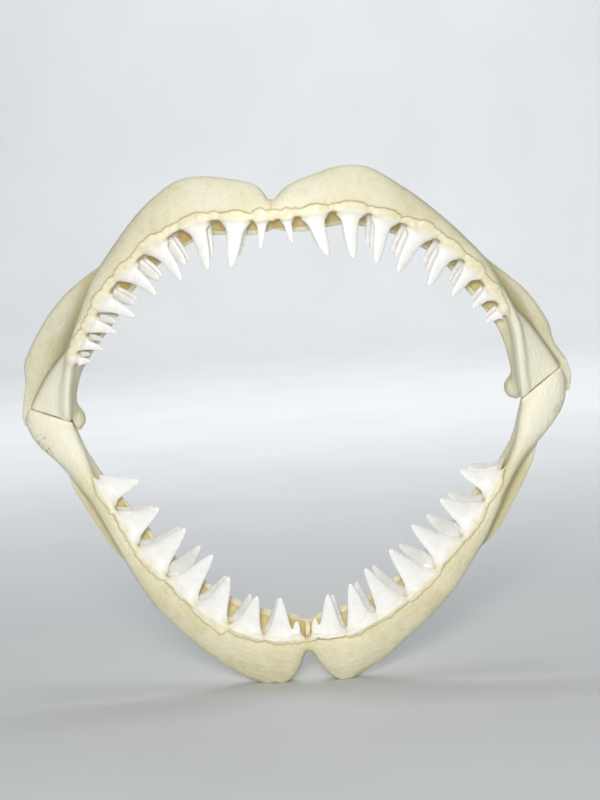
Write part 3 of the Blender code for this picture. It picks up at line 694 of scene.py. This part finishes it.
def gum_band(jaw, side):
    """The gum tissue that wraps the edge: a sheet rolled round it, thick at the teeth, feathered above."""
    line = LINES[jaw, side]
    end = band_end(line)
    rows = int(end / BAND_STEP)
    along = np.linspace(0.0 if line.upper else 1.5, end, rows)
    share = over_tooth(line, along)
    near = smooth_step(1.12, 0.62, np.abs(share))
    last_place = FRONT + face_place(line.frame(along)[4], band_edge(line, along))

    # Round the section: over the rim, up the front face with closer lines at its edge, and back beneath
    inner = np.interp(np.linspace(0, 10, OVER_RIM), range(11), BAND_PLACES)
    face = np.concatenate([np.linspace(0.05, 0.85, 12), [0.9, 0.94, 0.97, 0.985, 1.0]])
    under = np.linspace(1.0, 0.0, UNDER_BAND)
    place = np.hstack([
        np.tile(inner, (rows, 1)),
        FRONT + (last_place[:, None] - FRONT) * face,
        BAND_PLACES[0] + (last_place[:, None] - BAND_PLACES[0]) * under,
    ])
    lifts = [np.interp(inner, BAND_PLACES, BAND_LIFT), np.interp(face, FACE_SHARE, FACE_LIFT),
             np.full(UNDER_BAND, BURIED)]
    lift = np.tile(np.concatenate(lifts), (rows, 1))
    across = place.shape[1]

    bpy.ops.object.select_all(action="DESELECT")
    bpy.ops.mesh.primitive_grid_add(x_subdivisions=rows - 1, y_subdivisions=across - 1, size=SHEET)
    piece = bpy.context.object
    piece.name = piece.data.name = f"{jaw}_gum_{side}"
    sheet = corners_of(piece)
    row = np.rint((sheet[:, 0] / SHEET + 0.5) * (rows - 1)).astype(int)
    column = np.rint((sheet[:, 1] / SHEET + 0.5) * (across - 1)).astype(int)

    # Arches between the teeth: the ridge draws back and the pocket behind it opens
    ridge = np.exp(-(((place - RIDGE) / 0.72) ** 2))
    at_ends = smooth_step(-2.0, 9.0, along) if line.upper else np.ones_like(along)
    lift = np.where(lift > 0, lift - ARCH[jaw] * ridge * ((1 - near) * at_ends)[:, None], lift)
    # The band thins out beyond the last tooth, and beside the midline of the lower jaw
    fade = smooth_step(end, end - 16, along)[:, None]
    if not line.upper:
        fade = fade * smooth_step(0.6, 5.0, along)[:, None]
    lift = np.where(lift > 0, lift * fade - 1.0 * (1 - fade), lift)

    # The feet of the front teeth, raised and rounded into the gum
    grid_along = np.repeat(along[:, None], across, 1)
    out_there, _ = line.section_point(line.frame(grid_along)[4], place, np.maximum(lift, 0))
    white = np.where((place > FOOT_FROM) & (lift > 0), white_foot(line, grid_along, out_there), 0)
    fold = 1 - FOOT_FOLD[jaw] * np.exp(-((share / 0.2) ** 2))[:, None]
    lift = lift + FOOT_RISE * white * fade * fold

    points = line.surface(grid_along, place, lift)
    out_way = unit(line.surface(grid_along, place, lift + 0.5) - points)[row, column]
    flat = points[row, column]
    lumps = 0.22 * wander(flat, 9, 21) + 0.14 * wander(flat, 4.5, 22)
    lumps = lumps * smooth_step(0.0, 10.0, along[row])
    flat = flat + out_way * np.where(lift[row, column] > 0.5, lumps, 0)[:, None]
    # The two upper bands run into each other at the midline
    if line.upper:
        flat[:, 0] -= np.where(row == 0, MIDLINE_LAP, 0)
    put_corners(piece, line.world(flat))
    paint(piece, "place", place[row, column])
    paint(piece, "under_edge", ((last_place[:, None] - place) * 10)[row, column])
    paint(piece, "near", near[row])
    paint(piece, "white", white[row, column])

    edit(piece)
    bpy.ops.mesh.remove_doubles(threshold=0.00001)
    bpy.ops.mesh.select_all(action="DESELECT")
    bpy.ops.mesh.select_non_manifold(extend=False, use_wire=False, use_multi_face=False,
                                     use_non_contiguous=False, use_verts=False)
    bpy.ops.mesh.edge_face_add()
    bpy.ops.mesh.select_all(action="SELECT")
    bpy.ops.mesh.normals_make_consistent(inside=False)
    done()
    return piece


# ---------------------------------------------------------------- the teeth

# Up the tooth as a share of its height, half width as a share of half the base width, and how far the
# front and the back stand out as a share of half the thickness
DAGGER = [
    (-0.03, 0.99, 1.20, 1.10), (0.00, 1.00, 1.38, 1.20), (0.035, 0.90, 1.32, 1.16), (0.07, 0.78, 1.20, 1.12),
    (0.11, 0.67, 1.10, 1.06), (0.16, 0.585, 1.04, 1.00), (0.23, 0.535, 0.98, 0.95), (0.34, 0.495, 0.90, 0.88),
    (0.48, 0.455, 0.82, 0.80), (0.62, 0.405, 0.74, 0.72), (0.75, 0.34, 0.62, 0.62), (0.86, 0.27, 0.49, 0.49),
    (0.94, 0.195, 0.36, 0.36), (0.982, 0.115, 0.21, 0.21),
]
BLADE = [
    (-0.03, 0.99, 1.20, 1.10), (0.00, 1.00, 1.35, 1.20), (0.05, 0.92, 1.22, 1.14), (0.10, 0.82, 1.08, 1.08),
    (0.16, 0.72, 0.98, 1.00), (0.23, 0.625, 0.90, 0.93), (0.32, 0.55, 0.84, 0.86), (0.43, 0.485, 0.76, 0.78),
    (0.56, 0.415, 0.68, 0.7), (0.69, 0.335, 0.58, 0.6), (0.81, 0.255, 0.46, 0.48), (0.90, 0.185, 0.35, 0.36),
    (0.96, 0.13, 0.25, 0.25), (0.988, 0.08, 0.15, 0.15),
]
NUB = [
    (-0.04, 1.00, 1.15, 1.10), (0.06, 0.98, 1.20, 1.15), (0.20, 0.88, 1.15, 1.10), (0.38, 0.76, 1.05, 1.05),
    (0.56, 0.66, 0.95, 0.95), (0.73, 0.54, 0.80, 0.80), (0.87, 0.38, 0.58, 0.58), (0.96, 0.20, 0.30, 0.30),
]
THICKNESS = 0.27
SIDES = 16
# How tightly the cutting edges are kept, and from how far up
EDGE_CREASE, EDGE_FROM = 0.6, 0.12


def tooth_section(k, half_width, front, behind):
    """A corner of the lens that a tooth is at one height: edges at the two sides, fuller behind."""
    angle = 2 * math.pi * k / SIDES
    x = math.copysign(abs(math.cos(angle)) ** 0.85, math.cos(angle)) * half_width
    y = math.sin(angle)
    y = y * behind if y > 0 else y * front
    return x, y


def master_tooth(name, profile):
    """A tooth one unit wide at each side and one high, drawn up from a ring level by level."""
    bpy.ops.object.select_all(action="DESELECT")
    bpy.ops.mesh.primitive_circle_add(vertices=SIDES, radius=1.0, fill_type="NGON")
    piece = bpy.context.object
    piece.name = name
    edit(piece)
    for (up, *_), (above, *_) in zip(profile, profile[1:]):
        bpy.ops.mesh.extrude_region_move(TRANSFORM_OT_translate={"value": (0, 0, above - up)})
    bpy.ops.mesh.extrude_region_move(TRANSFORM_OT_translate={"value": (0, 0, 1.0 - profile[-1][0])})
    bpy.ops.mesh.merge(type="CENTER")
    done()
    points = corners_of(piece)
    points[:, 2] += profile[0][0]
    levels = np.array([level[0] for level in profile])
    for i, (x, y, z) in enumerate(points):
        if z > 0.999:
            points[i] = (0, 0, 1.0)
            continue
        level = int(np.abs(levels - z).argmin())
        k = round(math.atan2(y, x) / (2 * math.pi / SIDES)) % SIDES
        points[i, :2] = tooth_section(k, *profile[level][1:])
    put_corners(piece, points)
    for edge in piece.data.edges:
        a, b = (points[v] for v in edge.vertices)
        at_side = abs(a[1]) < 1e-6 and abs(b[1]) < 1e-6 and a[0] * b[0] >= 0 and abs(a[0] - b[0]) > 1e-5
        edge.select = bool(at_side and min(a[2], b[2]) > EDGE_FROM)
    layer = piece.data.attributes.new("crease_edge", "FLOAT", "EDGE")
    layer.data.foreach_set("value", [EDGE_CREASE if edge.select else 0.0 for edge in piece.data.edges])
    edit(piece)
    bpy.ops.mesh.normals_make_consistent(inside=False)
    done()
    finish_with(piece, "SUBSURF", levels=2, render_levels=2)
    return piece


# Rows of teeth: place round the section, gum thickness there, turn back, size, and the first and last
# tooth that shows; then how much of the step to the tooth behind each rear row takes
ROWS = {
    "upper": [(14.5, 6.4, 0, 1.0, 0, 9), (13.0, 5.6, 8, 0.82, 1, 9), (12.2, 4.8, 15, 0.74, 3, 7)],
    "lower": [(14.5, 6.4, 0, 1.0, 0, 9), (13.0, 6.0, 8, 0.90, 1, 9)],
}
STEPS = {"upper_left": (0, 0.2, 0.45), "upper_right": (0, 0.5, 0.65), "lower_left": (0, 1.05),
         "lower_right": (0, 1.05)}
# No tooth shows behind the last one of the lower right
REAR_ENDS = {"lower_right": 7}
# Lower teeth under this height are blunt, and all of them are a little larger than the solids' teeth
BLUNT_UNDER = 22
LOWER_WIDER, LOWER_HIGHER = 1.03, 1.02
# How much one tooth may differ from the next: its tip's curve, its fullness and its turn in degrees
TIP_CURVE, FULLNESS, TWIST = 0.035, 0.03, 7
# The bow of every crown, and its tip's turn the other way, as shares of its height
BOW, TIP_TURN = 0.035, 0.02


def place_tooth(master, line, tooth, row, step, jitter):
    """A copy of the master tooth, standing on the gum with its root bent along the gum line."""
    place, gum, turn, size, _, _ = row
    at, height, width, lean, behind = tooth
    at = at + step * behind
    height = height * size
    width = width * (0.5 + 0.5 * size)
    if not line.upper:
        width *= LOWER_WIDER
        height *= LOWER_HIGHER
    here = np.array(at, float)
    _, way, out, back, _ = line.frame(here)
    base = line.surface(here, np.array(place), np.array(gum))
    lean = math.radians(lean)
    turn = math.radians(turn)
    axis = -out * math.cos(turn) + back * math.sin(turn)
    axis = axis * math.cos(lean) - way * math.sin(lean)
    across = unit(way - axis * way.dot(axis))
    thick_way = np.cross(axis, across)
    if thick_way.dot(back) < 0:
        thick_way = -thick_way
    thick = 0.5 * THICKNESS * width

    piece = bpy.data.objects.new("tooth", master.data.copy())
    bpy.context.scene.collection.objects.link(piece)
    x, y, up = corners_of(piece).T
    rise = np.clip(up, 0, 1)
    # Each tooth's own shape; the fourth draw is spare
    curve, fuller, twist, _ = (jitter.uniform(-most, most) for most in (TIP_CURVE, FULLNESS, TWIST, 1))
    twist = math.radians(twist)
    half = 0.5 * width * (1 + fuller * np.sin(rise * math.pi))
    xs = x * half * math.cos(twist) - y * thick * math.sin(twist) + curve * height * rise**2
    ys = x * half * math.sin(twist) + y * thick * math.cos(twist)
    ys = ys + BOW * height * np.sin(rise * math.pi) - TIP_TURN * height * rise**3
    straight = base + across * xs[:, None] + thick_way * ys[:, None] + axis * (up * height)[:, None]
    # The foot follows the gum line, whatever the crown's lean
    foot_at = here + x * half
    bed = line.surface(foot_at, np.full(len(x), place), np.full(len(x), gum))
    _, _, foot_out, foot_back, _ = line.frame(foot_at)
    foot = bed + foot_back * (y * thick)[:, None] - foot_out * (up * height)[:, None]
    share = smooth_step(0.02, 0.26, up)[:, None]
    put_corners(piece, line.world(foot * (1 - share) + straight * share))
    paint(piece, "up", up)
    return piece


def tooth_row(jaw, side, index, masters):
    """One row of teeth of one half jaw, joined."""
    line = LINES[jaw, side]
    row = ROWS[jaw][index]
    jitter = random.Random(100 + 10 * index + (5 if side == "left" else 0) + (50 if jaw == "upper" else 0))
    made = []
    last = REAR_ENDS.get(f"{jaw}_{side}", row[5]) if index else row[5]
    for k, tooth in enumerate(line.teeth):
        if row[4] <= k < last:
            blunt = jaw == "lower" and tooth[1] < BLUNT_UNDER
            step = STEPS[f"{jaw}_{side}"][index]
            made.append(place_tooth(masters["blunt" if blunt else jaw], line, tooth, row, step, jitter))
    only(made[0])
    for piece in made:
        piece.select_set(True)
    bpy.ops.object.join()
    piece = made[0]
    piece.name = piece.data.name = f"{jaw}_teeth_row_{index + 1}_{side}"
    edit(piece)
    bpy.ops.mesh.normals_make_consistent(inside=False)
    done()
    only(piece)
    bpy.ops.object.shade_smooth()
    return piece


# Fineness of the casting of gum and front teeth, and how near both surfaces a point is where they melt
# together and where they don't
CAST = 0.9 * MM
MELTS, STANDS = 1.2, 6.0
MELT_ROUNDS = 24


def kept_values(piece, names):
    """A piece's vertices and some of their painted numbers."""
    values = {}
    for name in names:
        values[name] = np.empty(len(piece.data.vertices), np.float32)
        piece.data.attributes[name].data.foreach_get("value", values[name])
    return corners_of(piece), values


def nearest(points, others):
    """For each point, the nearest of the other points, and how far off it is in millimetres."""
    tree = KDTree(len(others))
    for i, other in enumerate(others):
        tree.insert(other, i)
    tree.balance()
    found = [tree.find(point)[1:] for point in points]
    return np.array([which for which, _ in found]), np.array([far for _, far in found]) / MM


def front_of(jaw, side, masters):
    """The gum band and its front teeth as one casting, the joins between them melted."""
    body = gum_band(jaw, side)
    teeth = tooth_row(jaw, side, 0, masters)
    band_points, band = kept_values(body, ("place", "under_edge", "near", "white"))
    tooth_points, tooth = kept_values(teeth, ("up",))
    only(body)
    teeth.select_set(True)
    bpy.ops.object.join()
    body.name = body.data.name = f"{jaw}_gum_and_front_teeth_{side}"
    finish_with(body, "REMESH", mode="VOXEL", voxel_size=CAST)
    points = corners_of(body)
    on_band, off_band = nearest(points, band_points)
    on_tooth, off_tooth = nearest(points, tooth_points)
    melt = smooth_step(STANDS, MELTS, np.maximum(off_band, off_tooth))
    put_corners(body, melted(body, relaxed(body, points, 2), melt, MELT_ROUNDS))

    is_tooth = smooth_step(0.25, -0.25, off_tooth - off_band)
    white = relaxed(body, np.maximum(is_tooth, band["white"][on_band]), 3)[:, 0]
    paint(body, "white", white)
    paint(body, "up", relaxed(body, np.where(is_tooth > 0.5, tooth["up"][on_tooth], 0), 2)[:, 0])
    for name in ("place", "under_edge", "near"):
        paint(body, name, band[name][on_band])
    only(body)
    bpy.ops.object.shade_smooth()
    return body


def as_teeth(piece, jaw, side):
    """Hides the imported teeth of one half jaw and attaches a piece to the root body in their place."""
    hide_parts(f"{jaw}_teeth_{side}")
    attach(piece, "root")


# ---------------------------------------------------------------- materials


def colour(code):
    """A hex sRGB colour as linear RGBA."""
    parts = [int(code[i : i + 2], 16) / 255 for i in (1, 3, 5)]
    return [c / 12.92 if c <= 0.04045 else ((c + 0.055) / 1.055) ** 2.4 for c in parts] + [1.0]


def wire(tree, node, wires):
    """Fills a node's inputs from sockets, from the main outputs of other nodes, or with values."""
    for name, value in wires.items():
        if isinstance(value, bpy.types.Node):
            value = value.outputs.get("Fac") or value.outputs.get("Result") or value.outputs[0]
        if isinstance(value, bpy.types.NodeSocket):
            tree.links.new(value, node.inputs[name])
        else:
            node.inputs[name].default_value = value


def add(tree, kind, wires=None, stops=None, **settings):
    """Adds a node, wires its inputs and fills its colour ramp from the stops."""
    node = tree.nodes.new("ShaderNode" + kind)
    for name, value in settings.items():
        setattr(node, name, value)
    if stops:
        ramp = node.color_ramp.elements
        while len(ramp) < len(stops):
            ramp.new(0.5)
        for element, (position, code) in zip(ramp, stops):
            element.position = position
            element.color = colour(code)
    wire(tree, node, wires or {})
    return node


def ranged(tree, value, low=0.0, high=1.0, least=0.0, most=1.0):
    """A value between low and high taken to one between least and most, and held at the ends."""
    return add(tree, "MapRange", {"Value": value, "From Min": low, "From Max": high, "To Min": least,
                                  "To Max": most})


def laid_over(tree, share, under, top, blend="MIX"):
    """A colour laid over another in a given share."""
    return add(tree, "Mix", {"Factor": share, "A": under, "B": top}, data_type="RGBA", blend_type=blend)


def painted(tree, name):
    """A guide that was painted on the mesh."""
    return add(tree, "Attribute", attribute_name=name)


def new_material(name, roughness, ior, coat=0.0, coat_roughness=0.2):
    """A material's tree and shader with its constant values."""
    made = bpy.data.materials.new(name)
    made.use_nodes = True
    tree = made.node_tree
    shader = tree.nodes["Principled BSDF"]
    wire(tree, shader, {"Roughness": roughness, "IOR": ior, "Coat Weight": coat,
                        "Coat Roughness": coat_roughness})
    return made, tree, shader


def painted_cartilage(name, base_stops, streak, stipple, groove_wash_and_shade, middle_line, gum_stain):
    """Cast polyester resin under brushed satin paint: cream, with an olive wash and painted shade in its
    hollows, painted shade on its sides and recesses, and painted highlights on its edges and by the joint.
    """
    made, tree, shader = new_material(name, 0.5, 1.5, coat=0.08, coat_roughness=0.35)
    place = add(tree, "TexCoord").outputs["Object"]
    flow = painted(tree, "flow").outputs["Vector"]
    # Clouds of thicker and thinner paint, 60 mm and 12 mm across
    cloud = add(tree, "TexNoise", {"Vector": place, "Scale": 17.0, "Detail": 4.0, "Roughness": 0.55})
    patch = add(tree, "TexNoise", {"Vector": place, "Scale": 85.0, "Detail": 3.0, "Roughness": 0.6})
    # Brush strokes that follow the jaw, 9 mm long and 2 mm wide, worked over one another
    stretch = add(tree, "Mapping", {"Vector": flow, "Scale": (0.11, 0.55, 0.55)})
    strokes = add(tree, "TexNoise", {"Vector": stretch, "Scale": 1.0, "Detail": 5.0,
                                     "Roughness": 0.68, "Distortion": 1.6})
    base = add(tree, "ValToRGB", {"Fac": cloud}, stops=base_stops)
    thin = add(tree, "ValToRGB", {"Fac": patch},
               stops=[(0.34, "#DDD4AC"), (0.52, "#FFFFFF"), (0.72, "#FFFFFF")])
    tone = laid_over(tree, 0.22, base, thin, "MULTIPLY")
    stroke_tone = add(tree, "ValToRGB", {"Fac": strokes}, stops=[(0.30, "#BDB283"), (0.50, "#FFFFFF")])
    brushed = laid_over(tree, streak, tone, stroke_tone, "MULTIPLY")
    # Washes, rubbed paint and painted light, each over the last: what it follows, from where to where it
    # builds up, how much there is at most, and its colour. Painted shade lies thin on the sides that face
    # away from the front; olive wash and painted shade lie broad in the hollows and dark in the grooves;
    # painted shade lies flat in the thin plates' recess;
    # edges are worn and carry a painted highlight, and the parts by the joint carry a painted highlight;
    # ochre lies beside the gum, a painted shadow under its edge, and brown where the halves meet
    shown = brushed
    for guide, low, high, most, code in (
        ("painted_side_shade", 0.0, 1.0, 0.34, "#B9AF86"),
        ("hollow", 0.15, 2.0, 0.60, "#B9AC74"),
        ("groove", 0.16, 0.75, groove_wash_and_shade, "#91844F"),
        ("painted_recess_shade", 0.0, 1.0, 0.62, "#C2B880"),
        ("hollow", -0.7, -2.4, 0.65, "#F4F0DA"),
        ("painted_highlight", 0.0, 1.0, 0.8, "#F6F3DF"),
        ("gum_wash", 0.0, 1.0, gum_stain, "#DCCD8E"),
        ("painted_edge_shadow", 0.0, 1.0, 0.62, "#A58E52"),
        ("midline", 0.0, 1.0, middle_line, "#B79A55"),
    ):
        share = ranged(tree, painted(tree, guide), low, high, most=most)
        shown = laid_over(tree, share, shown, colour(code))
    # Pinholes of the casting, 1 to 2 mm wide and thinly scattered, and the flakes off the lower heads
    pores = add(tree, "TexVoronoi", {"Vector": place, "Scale": 60.0, "Randomness": 1.0}, feature="F1")
    pore_pick = add(tree, "Math", {0: pores.outputs["Color"], 1: 0.965}, operation="GREATER_THAN")
    pore_dot = ranged(tree, pores.outputs["Distance"], 0.075, 0.04, most=0.75)
    pore = add(tree, "Math", {0: pore_pick, 1: pore_dot}, operation="MULTIPLY")
    chips = painted(tree, "chips")
    lost = add(tree, "Math", {0: pore, 1: chips}, operation="MAXIMUM")
    holed = laid_over(tree, lost, shown, colour("#82754A"))
    gloss = ranged(tree, patch, least=0.44, most=0.60)
    # The relief of the strokes and, where the paint was stippled, of dabs 3 mm across
    dabs = add(tree, "TexNoise", {"Vector": place, "Scale": 290.0, "Detail": 4.0, "Roughness": 0.68})
    mixed = add(tree, "Mix", {"Factor": stipple, "A": strokes, "B": dabs})
    bump = add(tree, "Bump", {"Height": mixed, "Strength": 0.6, "Distance": 0.0013})
    hole_bump = add(tree, "Bump", {"Height": pore, "Strength": 0.8, "Distance": 0.0008,
                                   "Normal": bump}, invert=True)
    wire(tree, shader, {"Base Color": holed, "Roughness": gloss, "Normal": hole_bump})
    return made


def cast_gum_and_enamel():
    """Resin gum brushed with cream and stained brown in its pockets, its teeth sprayed gloss white."""
    made, tree, shader = new_material("painted_gum_with_gloss_enamel_teeth", 0.42, 1.5, coat_roughness=0.15)
    place = add(tree, "TexCoord").outputs["Object"]
    mottle = add(tree, "TexNoise", {"Vector": place, "Scale": 110.0, "Detail": 4.0, "Roughness": 0.6})
    base = add(tree, "ValToRGB", {"Fac": mottle},
               stops=[(0.30, "#E8DFB4"), (0.50, "#F0EACB"), (0.70, "#F5F0DB")])
    # The pocket behind the front teeth holds the stain; the inner rim is a pale tan
    where = painted(tree, "place")
    pocket = add(tree, "ValToRGB", {"Fac": ranged(tree, where, 11.0, 15.6)},
        stops=[(0.0, "#E0D5B2"), (0.25, "#DFD0A6"), (0.50, "#DBC590"), (0.66, "#D8BD7C"), (0.76, "#E4CF96"),
               (0.84, "#FFFFFF")])
    stained = laid_over(tree, 1.0, base, pocket, "MULTIPLY")
    between = ranged(tree, painted(tree, "near"), 0.6, 0.0, most=0.6)
    front = ranged(tree, where, 15.0, 14.6)
    arch = add(tree, "Math", {0: between, 1: front}, operation="MULTIPLY")
    arched = laid_over(tree, arch, stained, colour("#C9A966"))
    # A painted shadow along the band's edge and under its lip
    edge_shadow_share = ranged(tree, painted(tree, "under_edge"), 0.30, 0.0, most=0.75)
    edge_shadowed = laid_over(tree, edge_shadow_share, arched, colour("#A08548"))
    # The enamel: a little warmer at the gum, in soft clouds 9 mm across, thinner over the feet
    up = painted(tree, "up")
    enamel = add(tree, "ValToRGB", {"Fac": up},
                 stops=[(0.0, "#F5F2E8"), (0.14, "#FAF9F5"), (0.5, "#FBFBFA"), (0.95, "#FCFCFB")])
    clouds = add(tree, "ValToRGB", {"Fac": mottle}, stops=[(0.30, "#F1EFE7"), (0.52, "#FFFFFF")])
    toned = laid_over(tree, 0.55, enamel, clouds, "MULTIPLY")
    enamelled = laid_over(tree, painted(tree, "white"), edge_shadowed, toned)
    crown = ranged(tree, up, 0.02, 0.2)
    gloss = ranged(tree, crown, least=0.50, most=0.26)
    coat = ranged(tree, crown, least=0.04, most=0.4)
    bump = add(tree, "Bump", {"Height": mottle, "Strength": 0.22, "Distance": 0.0007})
    wire(tree, shader, {"Base Color": enamelled, "Roughness": gloss, "Coat Weight": coat, "Normal": bump})
    return made


def gloss_enamel(name, tip, body, foot):
    """Teeth cast in resin and sprayed with gloss white enamel, a little warmer where they meet the gum, in
    given tones that carry painted shade.
    """
    made, tree, shader = new_material(name, 0.34, 1.5, coat=0.15, coat_roughness=0.25)
    wire(tree, shader, {"Subsurface Weight": 0.06, "Subsurface Scale": 0.003,
                        "Subsurface Radius": (1.0, 0.85, 0.7)})
    place = add(tree, "TexCoord").outputs["Object"]
    up = painted(tree, "up")
    mottle = add(tree, "TexNoise", {"Vector": place, "Scale": 130.0, "Detail": 3.0})
    wave = ranged(tree, mottle, least=-0.06, most=0.06)
    height = add(tree, "Math", {0: up, 1: wave}, operation="ADD")
    shade = add(tree, "ValToRGB", {"Fac": ranged(tree, height, -0.12, 1.0)},
        stops=[(0.0, foot), (0.10, foot), (0.26, body), (0.7, body), (0.95, tip)])
    # Soft clouds of thinner enamel, 8 mm across
    thin = add(tree, "ValToRGB", {"Fac": mottle}, stops=[(0.30, "#EFEDE4"), (0.55, "#FFFFFF")])
    toned = laid_over(tree, 0.6, shade, thin, "MULTIPLY")
    gloss = ranged(tree, mottle, least=0.30, most=0.42)
    # The sprayed coat lies in a faint orange peel, dimples 1.5 mm apart
    peel = add(tree, "TexNoise", {"Vector": place, "Scale": 650.0, "Detail": 1.0})
    bump = add(tree, "Bump", {"Height": peel, "Strength": 0.10, "Distance": 0.0003})
    wire(tree, shader, {"Base Color": toned, "Roughness": gloss, "Normal": bump})
    return made


def studio_paper():
    """A matt paper sweep under the model."""
    made, tree, shader = new_material("matt_paper", 0.9, 1.45)
    place = add(tree, "TexCoord").outputs["Object"]
    grain = add(tree, "TexNoise", {"Vector": place, "Scale": 3.0, "Detail": 2.0})
    tone = add(tree, "ValToRGB", {"Fac": grain}, stops=[(0.3, "#D3D6D8"), (0.7, "#D7DADC")])
    wire(tree, shader, {"Base Color": tone})
    return made


def clothe(piece, made):
    """Gives a piece one material."""
    piece.data.materials.clear()
    piece.data.materials.append(made)


# ---------------------------------------------------------------- making it all

# The upper jaw is brushed smooth; the lower one is stippled, streakier and darker in its grooves, with more
# wash and painted shade there
PAINT = {
    "upper": {"base_stops": [(0.30, "#E0DBBA"), (0.50, "#E9E5CA"), (0.70, "#EEEBD6")],
              "streak": 0.16, "stipple": 0.45, "groove_wash_and_shade": 0.18},
    "lower": {"base_stops": [(0.30, "#DAD4B0"), (0.50, "#E5E0C2"), (0.70, "#ECE8CE")],
              "streak": 0.30, "stipple": 0.70, "groove_wash_and_shade": 0.45},
}
skins = {
    "upper": painted_cartilage("brushed_paint_on_cast_resin", middle_line=0.30, gum_stain=0.20,
                               **PAINT["upper"]),
    "lower": painted_cartilage("stippled_paint_on_cast_resin", middle_line=0.0, gum_stain=0.20,
                               **PAINT["lower"]),
}
pads = {
    "upper": painted_cartilage("painted_resin_ligament_upper", middle_line=0.42, gum_stain=0.34,
                               **PAINT["upper"]),
    "lower": painted_cartilage("painted_resin_ligament_lower", middle_line=0.0, gum_stain=0.60,
                               **PAINT["lower"]),
}
gum_and_teeth = cast_gum_and_enamel()
# The rear rows are painted greyer than the front teeth, and warmer and darker at their feet, as painted shade
# behind the front row
shaded_rear_enamel = {
    "upper": gloss_enamel("gloss_enamel_rear_teeth_painted_shade_upper", "#EDEDEC", "#E4E4E3", "#D4D0C4"),
    "lower": gloss_enamel("gloss_enamel_rear_teeth_painted_shade_lower", "#E9E9E8", "#E0E0DE", "#D6D1C2"),
}

for jaw in ("upper", "lower"):
    for part, piece in cartilages(jaw).items():
        clothe(piece, (pads if part == "pad" else skins)[jaw])

masters = {"upper": master_tooth("dagger", DAGGER), "lower": master_tooth("blade", BLADE),
           "blunt": master_tooth("nub", NUB)}
for jaw in ("upper", "lower"):
    for side in ("left", "right"):
        front = front_of(jaw, side, masters)
        clothe(front, gum_and_teeth)
        as_teeth(front, jaw, side)
        for index in range(1, len(ROWS[jaw])):
            rear = tooth_row(jaw, side, index, masters)
            clothe(rear, shaded_rear_enamel[jaw])
            as_teeth(rear, jaw, side)
for master in masters.values():
    bpy.data.objects.remove(master)

# ---------------------------------------------------------------- studio

# The photograph's view: a little to the shark's left and above, turned slightly in the frame
TARGET = Vector((MOVED[0] * MM, MOVED[1] * MM, 0.300))
DISTANCE = 2.5
AZIMUTH, ELEVATION, ROLL = math.radians(3.5), math.radians(6.0), math.radians(-4.2)
HALF_VIEW = 0.36
# Where the middle of the view lies, as shares of the picture's width
SHIFT = (4 / 600, 25 / 600)
# The paper's size, and the steps of its bend up into the wall
PAPER = 9.0
BEND = ((0, 0.4, 0.06), (0, 0.35, 0.18), (0, 0.26, 0.28), (0, 0.16, 0.36), (0, 0.05, 0.45), (0, 0.0, 4.5))


def sweep():
    """A paper sweep: floor, a wide bend and a wall behind."""
    bpy.ops.object.select_all(action="DESELECT")
    bpy.ops.mesh.primitive_plane_add(size=PAPER, location=(0, 0, -0.0006))
    piece = bpy.context.object
    piece.name = "paper_sweep"
    pick(piece, corners_of(piece)[:, 1] > 0)
    for rise in BEND:
        bpy.ops.mesh.extrude_region_move(TRANSFORM_OT_translate={"value": rise})
    done()
    only(piece)
    bpy.ops.object.transform_apply(location=True, rotation=True, scale=True)
    finish_with(piece, "SUBSURF", levels=2, render_levels=2, boundary_smooth="PRESERVE_CORNERS")
    bpy.ops.object.shade_smooth()
    clothe(piece, studio_paper())


def soft_light(name, place, size, power, tint, aim=(0, 0, 0.3)):
    """A soft box that faces the model."""
    light = bpy.data.lights.new(name, "AREA")
    light.shape = "RECTANGLE"
    light.size, light.size_y = size
    light.energy = power
    light.color = colour(tint)[:3]
    lamp = bpy.data.objects.new(name, light)
    bpy.context.scene.collection.objects.link(lamp)
    lamp.location = place
    lamp.rotation_euler = (Vector(aim) - Vector(place)).to_track_quat("-Z", "Y").to_euler()


sweep()
soft_light("key_box", (0.05, -2.6, 0.95), (0.6, 0.6), 53, "#FFFDF8")
soft_light("side_box", (-1.9, -1.9, 1.5), (0.9, 0.9), 3, "#FBFCFF")
soft_light("top_box", (0.2, 0.5, 2.4), (1.6, 1.0), 9, "#FFFFFF")
soft_light("wall_box", (0, 2.6, 3.2), (4.0, 1.0), 150, "#FFFFFF", (0, 4.6, 0.3))
world = bpy.data.worlds.new("pale_room")
world.use_nodes = True
world.node_tree.nodes["Background"].inputs["Color"].default_value = colour("#E4E7EA")
world.node_tree.nodes["Background"].inputs["Strength"].default_value = 0.2
bpy.context.scene.world = world
# A plain view keeps the whites of the enamel as bright as they are painted
bpy.context.scene.view_settings.view_transform = "Standard"
bpy.context.scene.view_settings.look = "None"

towards = Vector((math.sin(AZIMUTH) * math.cos(ELEVATION), -math.cos(AZIMUTH) * math.cos(ELEVATION),
                  math.sin(ELEVATION)))
view = bpy.data.cameras.new("camera")
view.sensor_fit = "HORIZONTAL"
view.angle = 2 * math.atan(HALF_VIEW / DISTANCE)
view.shift_x, view.shift_y = SHIFT
view.clip_end = 30
camera = bpy.data.objects.new("camera", view)
bpy.context.scene.collection.objects.link(camera)
camera.location = TARGET + towards * DISTANCE
camera.rotation_mode = "QUATERNION"
camera.rotation_quaternion = (-towards).to_track_quat("-Z", "Y") @ Quaternion((0, 0, 1), ROLL)
bpy.context.scene.camera = camera
